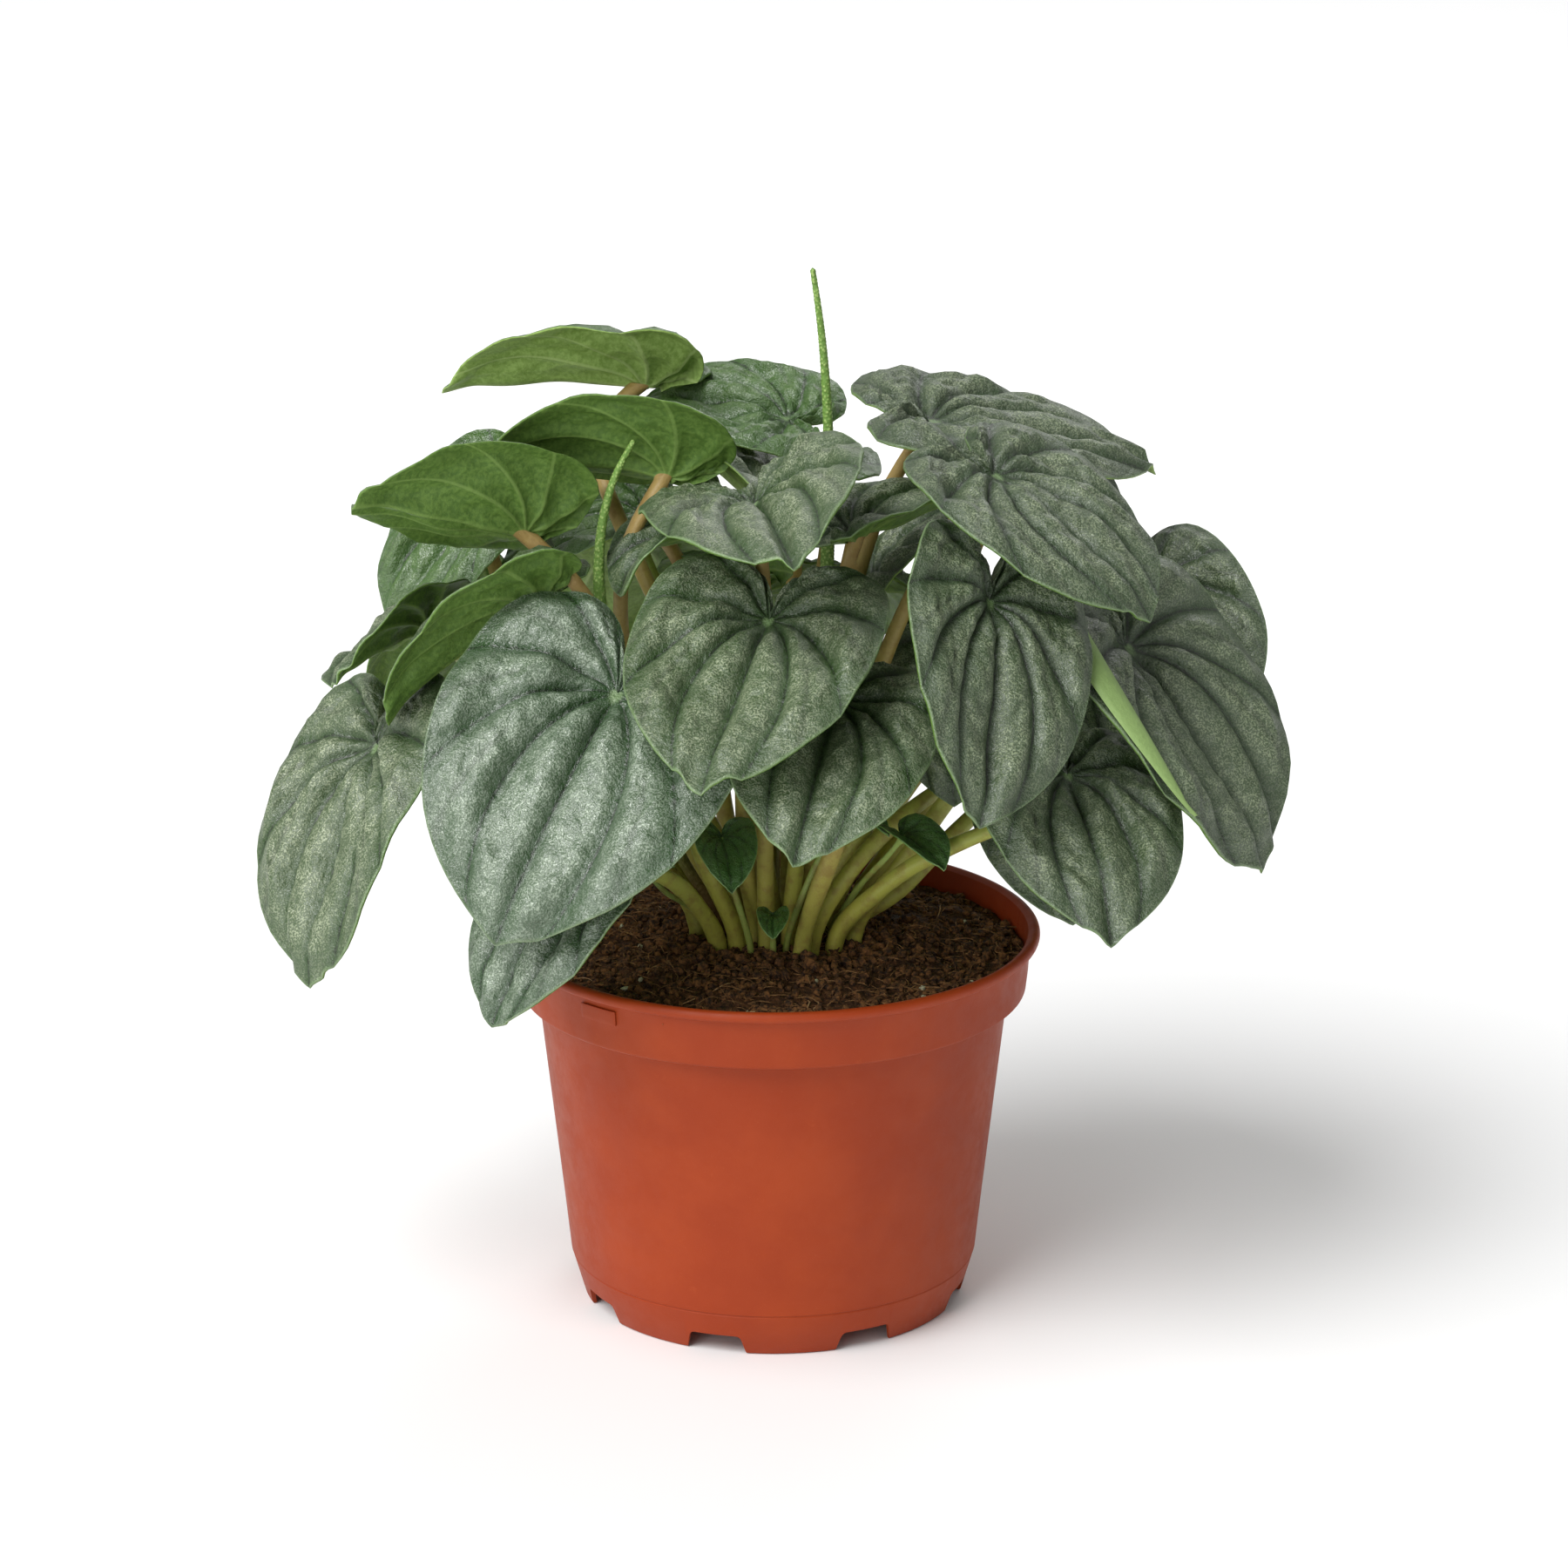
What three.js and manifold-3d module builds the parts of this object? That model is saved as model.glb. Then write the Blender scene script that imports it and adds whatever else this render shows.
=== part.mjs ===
// A potted peperomia: a round moulded nursery pot, its peat, a short crown and the leaves,
// young leaves and flower spikes that grow from it.
// Millimetres, +Z up. The origin is on the pot's axis, on the surface the pot stands on.
// -Y is the plant's front.

import * as THREE from 'three';
import { mergeVertices } from 'three/addons/utils/BufferGeometryUtils.js';
import Module from 'manifold-3d';

const wasm = await Module();
wasm.setup();

// ---------- driving dimensions ----------

// pot
const POT_DIAMETER = 150;      // across the lip
const POT_HEIGHT = 108;
const WALL = 1.5;
const BAND_HEIGHT = 17.6;      // the wide band under the lip, lip included
const BAND_STEP = 5;           // how far the band stands out from the body
const BAND_TAPER = 1.5;        // the band is this much wider at its top
const LIP_HEIGHT = 3.2;
const LIP_OVERHANG = 2;        // the lip stands out from the band
const BODY_TAPER = 8.8;        // the body narrows this much down to the base line
const BASE_LINE = 12.4;        // height of the line where the base skirt begins
const SKIRT_TAPER = 3.5;       // the skirt narrows this much down to the ground
const FOOT_COUNT = 8;
const FOOT_TURN = 5.5;         // degrees from the front to the middle of the first foot
const NOTCH_HEIGHT = 5.5;
const NOTCH_TOP = 13;
const NOTCH_FOOT = 17;
const FLOOR_HEIGHT = 6.2;      // underside of the pot's floor
const DRAIN_DIAMETER = 7;
const DRAIN_INSET = 8;         // from the skirt's inner face to the rim of a drain hole
const CENTRE_DRAIN_DIAMETER = 9;

// peat and crown
const SOIL_BELOW_LIP = 7;
const SOIL_MOUND = 2;
const CLEARANCE = 0.3;
const CROWN_DEPTH = 6;
const CROWN_ABOVE_SOIL = 1.5;
const CROWN_MARGIN = 1;

// leaves
const LEAF_THICKNESS = 1.3;
const EDGE_THICKNESS = 0.8;
const STALK_BASE_DIAMETER = 5.2;
const STALK_TOP_DIAMETER = 3.8;
const STALK_GAP = 0.6;         // free space between neighbouring stalks where they leave the crown
const YOUNG_STALK_DIAMETER = 2;
const SPIKE_BASE_DIAMETER = 3.2;
const SPIKE_TIP_DIAMETER = 1.2;

// The plant below is described as grown in a pot of this width; it grows with its pot.
const GROWN_IN = 150;
const GROWTH = POT_DIAMETER / GROWN_IN;

// ---------- worked-out sizes ----------

const LIP_RADIUS = POT_DIAMETER / 2;
const BAND_TOP_RADIUS = LIP_RADIUS - LIP_OVERHANG;
const BAND_FOOT_RADIUS = BAND_TOP_RADIUS - BAND_TAPER;
const BAND_Z = POT_HEIGHT - BAND_HEIGHT;
const BODY_TOP_RADIUS = BAND_FOOT_RADIUS - BAND_STEP;
const BASE_RADIUS = BODY_TOP_RADIUS - BODY_TAPER;
const GROUND_RADIUS = BASE_RADIUS - SKIRT_TAPER;
const FLOOR_TOP = FLOOR_HEIGHT + WALL;
const SOIL_Z = POT_HEIGHT - SOIL_BELOW_LIP;
const CROWN_Z = SOIL_Z + SOIL_MOUND + CROWN_ABOVE_SOIL;

const RADIAL_STEPS = 48;

// outer radius of the pot's body or skirt at a height below the band
function bodyRadius(z) {
  if (z < BASE_LINE) return GROUND_RADIUS + (SKIRT_TAPER * z) / BASE_LINE;
  return BASE_RADIUS + (BODY_TAPER * (z - BASE_LINE)) / (BAND_Z - BASE_LINE);
}

// outer radius of the band at a height between its foot and the lip
function bandRadius(z) {
  return BAND_FOOT_RADIUS + (BAND_TAPER * (z - BAND_Z)) / (BAND_HEIGHT - LIP_HEIGHT);
}

// ---------- solids ----------

function toManifold(geometry) {
  const bare = geometry.clone();
  bare.deleteAttribute('normal');
  bare.deleteAttribute('uv');
  const merged = mergeVertices(bare, 1e-4);
  return new wasm.Manifold(new wasm.Mesh({
    numProp: 3,
    vertProperties: new Float32Array(merged.attributes.position.array),
    triVerts: new Uint32Array(merged.index.array),
  }));
}

function fromManifold(solid) {
  const mesh = solid.getMesh();
  const geometry = new THREE.BufferGeometry();
  geometry.setAttribute('position', new THREE.BufferAttribute(mesh.vertProperties, 3));
  geometry.setIndex(new THREE.BufferAttribute(mesh.triVerts, 1));
  geometry.computeVertexNormals();
  return geometry;
}

// A turned body about +Z from [radius, height] points that start and end on the axis.
function turned(points, steps = RADIAL_STEPS) {
  const outline = points.map(([r, z]) => new THREE.Vector2(r, z));
  return new THREE.LatheGeometry(outline, steps).rotateX(Math.PI / 2);
}

// ---------- pot ----------

function potGeometry() {
  const lipFoot = POT_HEIGHT - LIP_HEIGHT;
  const shelf = BAND_Z + WALL;
  let pot = toManifold(turned([
    [0, FLOOR_HEIGHT],
    [bodyRadius(FLOOR_HEIGHT) - WALL, FLOOR_HEIGHT],
    [GROUND_RADIUS - WALL, 0],
    [GROUND_RADIUS, 0],
    [BASE_RADIUS, BASE_LINE],
    [BODY_TOP_RADIUS, BAND_Z],
    [BAND_FOOT_RADIUS - 0.6, BAND_Z],
    [BAND_FOOT_RADIUS, BAND_Z + 0.8],
    [BAND_TOP_RADIUS, lipFoot],
    [LIP_RADIUS - 0.5, lipFoot + 0.3],
    [LIP_RADIUS, lipFoot + LIP_HEIGHT / 2],
    [LIP_RADIUS - 0.5, POT_HEIGHT],
    [LIP_RADIUS - WALL, POT_HEIGHT],
    [BAND_TOP_RADIUS - WALL, lipFoot],
    [bandRadius(shelf) - WALL, shelf],
    [BODY_TOP_RADIUS - WALL, shelf],
    [bodyRadius(FLOOR_TOP) - WALL, FLOOR_TOP],
    [0, FLOOR_TOP],
  ]));
  const notch = new THREE.Shape([
    new THREE.Vector2(-NOTCH_FOOT / 2, -1),
    new THREE.Vector2(NOTCH_FOOT / 2, -1),
    new THREE.Vector2(NOTCH_TOP / 2, NOTCH_HEIGHT),
    new THREE.Vector2(-NOTCH_TOP / 2, NOTCH_HEIGHT),
  ]);
  const inner = GROUND_RADIUS - 4 * WALL;
  const drainRing = GROUND_RADIUS - WALL - DRAIN_INSET - DRAIN_DIAMETER / 2;
  for (let i = 0; i < FOOT_COUNT; i += 1) {
    const turn = THREE.MathUtils.degToRad(FOOT_TURN + (360 / FOOT_COUNT) * (i + 0.5));
    const cut = new THREE.ExtrudeGeometry(notch, { depth: 12 * WALL, bevelEnabled: false });
    cut.rotateX(Math.PI / 2);
    cut.translate(0, -inner, 0);
    cut.rotateZ(turn);
    pot = pot.subtract(toManifold(cut));
    const drain = new THREE.CylinderGeometry(DRAIN_DIAMETER / 2, DRAIN_DIAMETER / 2, 4 * WALL, 12);
    drain.rotateX(Math.PI / 2);
    drain.translate(0, -drainRing, FLOOR_HEIGHT + WALL / 2);
    drain.rotateZ(turn);
    pot = pot.subtract(toManifold(drain));
  }
  const centreRadius = CENTRE_DRAIN_DIAMETER / 2;
  const centre = new THREE.CylinderGeometry(centreRadius, centreRadius, 4 * WALL, 12);
  centre.rotateX(Math.PI / 2);
  centre.translate(0, 0, FLOOR_HEIGHT + WALL / 2);
  pot = pot.subtract(toManifold(centre));
  return fromManifold(pot);
}

// ---------- stalk feet on the crown ----------

// Stalk feet stand on the crown in a sunflower spiral, each at its own place, a gap apart.
const GOLDEN_ANGLE = Math.PI * (3 - Math.sqrt(5));
const FOOT_PLACES = 50;
const SPIRAL_STEP = (STALK_BASE_DIAMETER * GROWTH + STALK_GAP) / 1.72;
const FEET_RADIUS = SPIRAL_STEP * Math.sqrt(FOOT_PLACES);
const CROWN_RADIUS = FEET_RADIUS + (STALK_BASE_DIAMETER * GROWTH) / 2 + CROWN_MARGIN;

const freeFeet = Array.from({ length: FOOT_PLACES }, (unused, k) => {
  const r = SPIRAL_STEP * Math.sqrt(k + 0.5);
  return new THREE.Vector3(r * Math.cos(k * GOLDEN_ANGLE), r * Math.sin(k * GOLDEN_ANGLE), 0);
});

// The free foot nearest to the wanted place, which is then taken.
function takeFoot(x, y) {
  const wanted = new THREE.Vector3(x, y, 0);
  let best = 0;
  freeFeet.forEach((foot, k) => {
    if (foot.distanceTo(wanted) < freeFeet[best].distanceTo(wanted)) best = k;
  });
  return freeFeet.splice(best, 1)[0];
}

// ---------- peat and crown ----------

function soilGeometry() {
  const shelf = BAND_Z + WALL;
  const floor = FLOOR_TOP + CLEARANCE;
  const pocket = CROWN_RADIUS + CLEARANCE;
  const pocketFloor = CROWN_Z - CROWN_DEPTH - CLEARANCE;
  const wallGap = WALL + CLEARANCE;
  return turned([
    [0, floor],
    [bodyRadius(floor) - wallGap, floor],
    [BODY_TOP_RADIUS - wallGap, shelf + CLEARANCE],
    [bandRadius(shelf) - wallGap, shelf + CLEARANCE],
    [bandRadius(SOIL_Z) - wallGap, SOIL_Z],
    [(bandRadius(SOIL_Z) + pocket) / 2, SOIL_Z + SOIL_MOUND * 0.7],
    [pocket, SOIL_Z + SOIL_MOUND],
    [pocket, pocketFloor],
    [0, pocketFloor],
  ]);
}

function crownGeometry() {
  return turned([
    [0, CROWN_Z - CROWN_DEPTH],
    [CROWN_RADIUS * 0.9, CROWN_Z - CROWN_DEPTH],
    [CROWN_RADIUS, CROWN_Z - CROWN_DEPTH * 0.7],
    [CROWN_RADIUS, CROWN_Z - 0.8],
    [CROWN_RADIUS - 0.8, CROWN_Z],
    [0, CROWN_Z],
  ], 32);
}

// ---------- tapered stalks ----------

// Rings of a round stalk along a curve, from its start to its end. The frame is carried along
// from the first ring's side direction, and the last ring is cut level, to stand on the crown.
function stalkRings(curve, steps, sides, radiusAt, side) {
  const rings = [];
  let across = side.clone();
  for (let i = 0; i <= steps; i += 1) {
    const t = i / steps;
    const along = i === steps ? new THREE.Vector3(0, 0, -1) : curve.getTangent(t);
    across.addScaledVector(along, -across.dot(along)).normalize();
    const up = new THREE.Vector3().crossVectors(across, along);
    const centre = curve.getPoint(t);
    const ring = [];
    for (let j = 0; j < sides; j += 1) {
      const turn = (2 * Math.PI * j) / sides;
      ring.push(centre.clone()
        .addScaledVector(across, radiusAt(t) * Math.cos(turn))
        .addScaledVector(up, radiusAt(t) * Math.sin(turn)));
    }
    rings.push(ring);
  }
  return rings;
}

// One closed skin from a list of rings between two end points. A ring may have half as many
// points as the one before it.
function skinGeometry(first, rings, last) {
  const points = [first];
  const starts = rings.map((ring) => {
    const start = points.length;
    points.push(...ring);
    return start;
  });
  points.push(last);
  const faces = [];
  const top = rings[0].length;
  for (let i = 0; i < top; i += 1) faces.push(0, starts[0] + i, starts[0] + ((i + 1) % top));
  for (let r = 1; r < rings.length; r += 1) {
    const n = rings[r - 1].length;
    const m = rings[r].length;
    const partner = (i) => starts[r] + (Math.floor((i * m) / n) % m);
    for (let i = 0; i < n; i += 1) {
      const a = starts[r - 1] + i;
      const b = starts[r - 1] + ((i + 1) % n);
      if (partner(i) !== partner(i + 1)) faces.push(a, partner(i), partner(i + 1));
      faces.push(a, partner(i + 1), b);
    }
  }
  const end = starts[rings.length - 1];
  const n = rings[rings.length - 1].length;
  for (let i = 0; i < n; i += 1) faces.push(end + i, points.length - 1, end + ((i + 1) % n));
  const geometry = new THREE.BufferGeometry().setFromPoints(points);
  geometry.setIndex(faces);
  geometry.computeVertexNormals();
  return geometry;
}

// ---------- leaves ----------

// Half of the heart-shaped outline between tip and notch, as [across, along] in leaf lengths
// from where the stalk meets the blade.
const TIP = [0, 1];
const NOTCH = [0, -0.08];
const HALF_OUTLINE = [
  [0.19, 0.87], [0.37, 0.66], [0.47, 0.37], [0.48, 0.02], [0.37, -0.25], [0.16, -0.3],
];
const BLADE_RINGS = [0.36, 0.7, 1];

// The blade's middle surface: the flat outline is folded up along the midrib, arched down
// towards the tip and lifted towards the back of the lobes. Returns the point and its normal.
function bladePoint(leaf, across, along) {
  const side = across < 0 ? -1 : 1;
  const fold = THREE.MathUtils.degToRad(side > 0 ? leaf.foldLeft : leaf.foldRight);
  const x = Math.abs(across) * leaf.width * leaf.length;
  const y = along * leaf.length;
  const arch = THREE.MathUtils.degToRad(leaf.arch) / leaf.length;
  const lift = THREE.MathUtils.degToRad(leaf.lift) / (0.3 * leaf.length);
  const bend = y >= 0 ? -arch : lift;
  const slope = bend * Math.abs(y) * (y >= 0 ? 1 : -1);
  const forward = Math.abs(bend) < 1e-9 ? y : Math.sin(slope) / bend;
  const rise = Math.abs(bend) < 1e-9 ? 0 : (1 - Math.cos(slope)) / bend;
  const folded = x * Math.sin(fold);
  const flat = Math.abs(across) < 1e-9;
  return {
    point: new THREE.Vector3(
      forward - folded * Math.sin(slope),
      side * x * Math.cos(fold),
      rise + folded * Math.cos(slope),
    ),
    normal: new THREE.Vector3(
      -Math.sin(slope) * (flat ? 1 : Math.cos(fold)),
      flat ? 0 : -side * Math.sin(fold),
      Math.cos(slope) * (flat ? 1 : Math.cos(fold)),
    ),
  };
}

// How the blade sits: +X of the leaf points along its heading, drooped and rolled.
function leafPose(leaf) {
  const turn = new THREE.Euler(
    THREE.MathUtils.degToRad(leaf.roll),
    THREE.MathUtils.degToRad(leaf.droop),
    THREE.MathUtils.degToRad(leaf.heading),
    'ZYX',
  );
  const [x, y, up] = leaf.at;
  return new THREE.Matrix4()
    .makeRotationFromEuler(turn)
    .setPosition(x * GROWTH, y * GROWTH, POT_HEIGHT + up * GROWTH);
}

function leafGeometry(leaf) {
  const pose = leafPose(leaf);
  const spokes = [TIP, ...HALF_OUTLINE, NOTCH, ...HALF_OUTLINE.slice().reverse().map(([a, b]) => [-a, b])];
  const ringAt = (size, depth) => spokes.map(([across, along]) => {
    const { point, normal } = bladePoint(leaf, across * size, along * size);
    return point.addScaledVector(normal, -depth).applyMatrix4(pose);
  });
  const edge = Math.min(EDGE_THICKNESS, LEAF_THICKNESS) * GROWTH;
  const thick = LEAF_THICKNESS * GROWTH;
  const rings = BLADE_RINGS.map((size) => ringAt(size, 0));
  rings.push(ringAt(1, edge));
  rings.push(ringAt(BLADE_RINGS[1], thick));
  rings.push(ringAt(BLADE_RINGS[0], thick));

  const forward = new THREE.Vector3(1, 0, 0).transformDirection(pose);
  const face = new THREE.Vector3(0, 0, 1).transformDirection(pose);
  const joint = new THREE.Vector3().setFromMatrixPosition(pose);
  const arrival = face.clone().addScaledVector(forward, leaf.neck).normalize();
  const top = joint.clone().addScaledVector(arrival, -thick * 2.2);
  const crownTop = CROWN_Z + CLEARANCE;
  const foot = takeFoot(leaf.root[0] * GROWTH, leaf.root[1] * GROWTH).setZ(crownTop);
  const span = top.distanceTo(foot);
  const lean = new THREE.Vector3(foot.x, foot.y, 0).multiplyScalar(leaf.lean / CROWN_RADIUS);
  const rise = new THREE.Vector3(0, 0, 1).add(lean).normalize();
  const curve = new THREE.CubicBezierCurve3(
    top,
    top.clone().addScaledVector(arrival, -span * 0.25),
    foot.clone().addScaledVector(rise, span * 0.45),
    foot,
  );
  const [thin, stout] = [leaf.stalk[0] / 2, leaf.stalk[1] / 2];
  const radiusAt = (t) => (thin + (stout - thin) * t) * GROWTH;
  rings.push(...stalkRings(curve, leaf.stalkSteps, spokes.length / 2, radiusAt, forward));
  const { point } = bladePoint(leaf, 0, 0);
  return skinGeometry(point.applyMatrix4(pose), rings, foot);
}

// A leaf unless its own entry says otherwise. `at` is where the stalk meets the blade: right,
// back and up from the pot's lip. `heading` is where the tip points, in degrees: 0 is right, 90
// is back, -90 is the front. `droop` tips it down and `roll` raises its left half. `root` is
// where its stalk leaves the crown, right and back.
const LEAF = {
  length: 60,
  width: 1,
  roll: 0,
  foldLeft: 10,
  foldRight: 10,
  arch: 20,
  lift: 10,
  neck: 0.5,
  lean: 0.5,
  stalk: [STALK_TOP_DIAMETER, STALK_BASE_DIAMETER],
  stalkSteps: 6,
};

const LEAVES = [
  { at: [-42, -45, 81], heading: -119, droop: 33, roll: -21, length: 79,
    width: 1.12, foldLeft: 14, foldRight: 4, arch: 29, lift: 14, neck: 0.7, lean: 0.8, root: [-10, -12] },
  { at: [-1, -46, 102], heading: -106, droop: 24, roll: -2, length: 70,
    foldLeft: 9, foldRight: 11, arch: -1, neck: 0.9, lean: 0.3, root: [4, 5] },
  { at: [17, -54, 82], heading: -100, droop: 20, roll: -14, foldLeft: 11,
    arch: 19, neck: 0.4, lean: 0.2, root: [5, -10] },
  { at: [58, -53, 109], heading: -88, droop: 41, roll: -26, length: 66,
    width: 0.9, foldLeft: 8, foldRight: 18, arch: 16, neck: -0.1, root: [8, -21] },
  { at: [80, -45, 58], heading: -77, droop: 23, roll: -2, length: 58,
    foldLeft: 4, foldRight: 7, neck: 0.2, lean: 0.6, root: [17, -13] },
  { at: [97, -24, 88], heading: -31, droop: 46, roll: 16, length: 72,
    foldLeft: 6, foldRight: 24, arch: 17, neck: 0.3, lean: 0.6, root: [22, -7] },
  { at: [107, 21, 92], heading: -56, droop: 31, roll: 26, length: 48,
    foldLeft: 19, foldRight: 14, neck: 0.1, root: [21, 6] },
  { at: [-110, -5, 54], heading: -123, droop: 47, roll: 17, length: 71,
    foldLeft: 15, foldRight: 7, root: [-18, 5] },
  { at: [-51, -58, 37], heading: -146, droop: 44, roll: -10, length: 51, root: [-15, -12] },
  { at: [44, 19, 141], heading: 9, droop: 9, roll: 11, length: 67,
    foldLeft: 2, foldRight: 9, arch: 8, lean: 0.3, root: [9, 3] },
  { at: [60, -34, 139], heading: -37, droop: 24, roll: 4, foldLeft: 5,
    foldRight: 2, arch: 14, neck: 0.4, lean: 0.3, root: [12, -3] },
  { at: [65, 37, 129], heading: -30, droop: 28, roll: 4, length: 56,
    foldLeft: 0, foldRight: 8, arch: 23, neck: -0.3, lean: 0.4, root: [16, 9] },
  { at: [-5, -22, 128], heading: -82, droop: -7, roll: 7, length: 66,
    foldLeft: 29, foldRight: 9, arch: 12, neck: -0.2, root: [-2, -13] },
  { at: [23, -16, 118], heading: 36, droop: -12, roll: 8, length: 47,
    foldLeft: 8, foldRight: 38, arch: 19, neck: 0.6, lean: 0.9, root: [7, -4] },
  { at: [-68, -16, 118], heading: -150, droop: -19, roll: 54, length: 55,
    foldLeft: 17, foldRight: 35, arch: 5, neck: 1.4, lean: 1.1, root: [-10, -6] },
  { at: [-79, 34, 117], heading: -149, droop: 40, roll: -27, length: 52,
    width: 0.8, foldLeft: 20, foldRight: 7, arch: 31, neck: -0.8, lean: 0.6, root: [-21, -2] },
  { at: [-36, 46, 145], heading: 173, droop: -3, roll: 27, length: 58,
    foldLeft: 22, foldRight: 36, arch: 11, neck: -2.3, lean: 1.6, root: [0, -5] },
  { at: [-29, 0, 130], heading: 181, droop: -15, roll: 25, length: 57,
    foldLeft: 38, foldRight: 8, arch: 34, neck: -0.5, lean: 1.3, root: [-13, 9] },
  { at: [-3, 16, 118], heading: 140, droop: -28, roll: 4, length: 55,
    foldLeft: 39, foldRight: 2, arch: 23, neck: 0, lean: 0.9, root: [-3, 3] },
  { at: [4, 42, 136], heading: 164, droop: -13, roll: -18, length: 45,
    foldLeft: 8, foldRight: 11, arch: 21, neck: 1.6, lean: 0.3, root: [-2, 8] },
  { at: [-64, -17, 99], heading: -177, droop: 27, roll: 28, length: 54,
    foldLeft: 18, foldRight: 31, arch: 21, neck: -0.2, lean: 0.1, root: [-10, 4] },
  { at: [-97, 3, 85], heading: -129, droop: -2, roll: 38, length: 42,
    foldLeft: 22, foldRight: 13, neck: 0.9, lean: 0.8, root: [-20, 10] },
  { at: [-37, 48, 107], heading: -165, droop: 22, roll: 6, length: 44,
    foldLeft: 6, foldRight: 35, arch: -9, neck: 0.4, lean: 1, root: [-7, 11] },
  { at: [-10, -3, 107], heading: -174, droop: -45, roll: 23, length: 43,
    foldLeft: 15, foldRight: 29, arch: 114, neck: 1.2, lean: 1.1, root: [-4, -8] },
  { at: [54, -3, 83], heading: -105, droop: 53, roll: 8, length: 46,
    foldLeft: 7, arch: 19, neck: -0.1, root: [10, -10] },
  { at: [76, -1, 49], heading: -77, droop: 48, roll: 12, length: 48,
    foldLeft: 7, foldRight: 6, arch: 22, neck: 0.8, lean: 1.6, root: [20, -2] },
  { at: [90, 11, 80], heading: -59, droop: 47, roll: 3, length: 47,
    foldLeft: 7, foldRight: 7, arch: 19, neck: 0.8, lean: 1.3, root: [14, 15] },
  { at: [29, 18, 96], heading: 26, droop: -38, roll: -4, length: 42,
    foldLeft: 2, foldRight: 19, arch: 17, neck: 0.9, lean: 1, root: [8, 14] },
  { at: [7, 55, 117], heading: 96, droop: -2, roll: 2, length: 50,
    foldLeft: 9, foldRight: 8, arch: 19, neck: 0.6, lean: 0.2, root: [-1, 15] },
  { at: [35, 60, 107], heading: 72, droop: 11, roll: -8, length: 56,
    arch: 21, lean: 0.6, root: [3, 19] },
  { at: [-39, 69, 93], heading: 103, droop: 37, roll: 4, length: 58,
    foldLeft: 11, foldRight: 4, neck: 1.1, lean: 0.9, root: [-7, 16] },
  { at: [-4, 58, 82], heading: 99, droop: 37, roll: 6, length: 62,
    foldLeft: 11, foldRight: 8, arch: 19, neck: 0.7, root: [-4, 21] },
  { at: [45, 59, 78], heading: 58, droop: 40, roll: -2, foldLeft: 9,
    foldRight: 9, arch: 27, neck: 0.6, lean: 0.7, root: [9, 21] },
  { at: [83, 48, 89], heading: 36, droop: 35, roll: 3, length: 58,
    foldLeft: 7, foldRight: 7, arch: 23, neck: 0.6, lean: 0.6, root: [15, 2] },
  { at: [-81, 52, 83], heading: 144, droop: 48, roll: 2, length: 62,
    foldLeft: 17, foldRight: 4, arch: 21, neck: 0.2, lean: 1.1, root: [-14, 15] },
  { at: [-50, 62, 50], heading: 120, droop: 50, length: 56, root: [-12, 20] },
  { at: [84, 36, 49], heading: 50, droop: 52, roll: -1, length: 56,
    foldLeft: 18, foldRight: 6, arch: 14, neck: 0.7, root: [10, -16] },
].map((leaf) => ({ ...LEAF, ...leaf }));

// Young leaves stand on thin stalks low among the others.
const YOUNG = {
  ...LEAF,
  length: 18,
  foldLeft: 30,
  foldRight: 30,
  stalk: [1.4, YOUNG_STALK_DIAMETER],
  stalkSteps: 4,
};

const YOUNG_LEAVES = [
  { at: [-14, -26, 34], heading: -80, droop: 20, length: 20, root: [-6, -17] },
  { at: [36, -27, 35], heading: -50, droop: 10, foldLeft: 33, foldRight: 29, arch: 15, root: [16, -7] },
  { at: [21, -18, 38], heading: -20, droop: 11, roll: -1, length: 13,
    foldLeft: 27, foldRight: 32, lean: 0.9, root: [4, -16] },
  { at: [-34, -20, 22], heading: -160, droop: 0, length: 20, root: [-16, -5] },
  { at: [0, -28, 12], heading: -90, droop: 10, length: 10, root: [0, -20] },
].map((leaf) => ({ ...YOUNG, ...leaf }));

// Flower spikes are slim tapered rods with a rounded tip, on the crown like the leaves.
const SPIKES = [
  { tip: [11, 9, 186], bow: [23, 9, 114], root: [3, 11] },
  { tip: [-38, -8, 142], bow: [-66, -12, 100], root: [-14, 1] },
  { tip: [55, 12, 118], bow: [44, 9, 80], root: [10, 9] },
];

function spikeGeometry(spike) {
  const place = ([x, y, up]) => new THREE.Vector3(x * GROWTH, y * GROWTH, POT_HEIGHT + up * GROWTH);
  const foot = takeFoot(spike.root[0] * GROWTH, spike.root[1] * GROWTH).setZ(CROWN_Z + CLEARANCE);
  const tip = place(spike.tip);
  const bow = place(spike.bow);
  const curve = new THREE.QuadraticBezierCurve3(tip, bow, foot);
  const swell = SPIKE_BASE_DIAMETER - SPIKE_TIP_DIAMETER;
  const radiusAt = (t) => ((SPIKE_TIP_DIAMETER + swell * Math.min(1, t * 2)) / 2) * GROWTH;
  const side = new THREE.Vector3(1, 0, 0);
  const rings = stalkRings(curve, 10, 8, radiusAt, side);
  const end = tip.clone().addScaledVector(curve.getTangent(0), -radiusAt(0));
  return skinGeometry(end, rings, foot);
}

// ---------- the plant in its pot ----------

const plastic = { color: 0xb4502d, roughness: 0.55, metalness: 0 };
const peat = { color: 0x3a2418, roughness: 0.95, metalness: 0 };
const crown = { color: 0x5d6b32, roughness: 0.8, metalness: 0 };
const leafFace = { color: 0x7d9585, roughness: 0.45, metalness: 0 };
const youngFace = { color: 0x4f7b3a, roughness: 0.5, metalness: 0 };
const spikeSkin = { color: 0x7aa048, roughness: 0.55, metalness: 0 };

const plant = new THREE.Group();
plant.name = 'potted_peperomia';

function add(name, geometry, finish) {
  const mesh = new THREE.Mesh(geometry, new THREE.MeshStandardMaterial(finish));
  mesh.name = name;
  plant.add(mesh);
}

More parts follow.
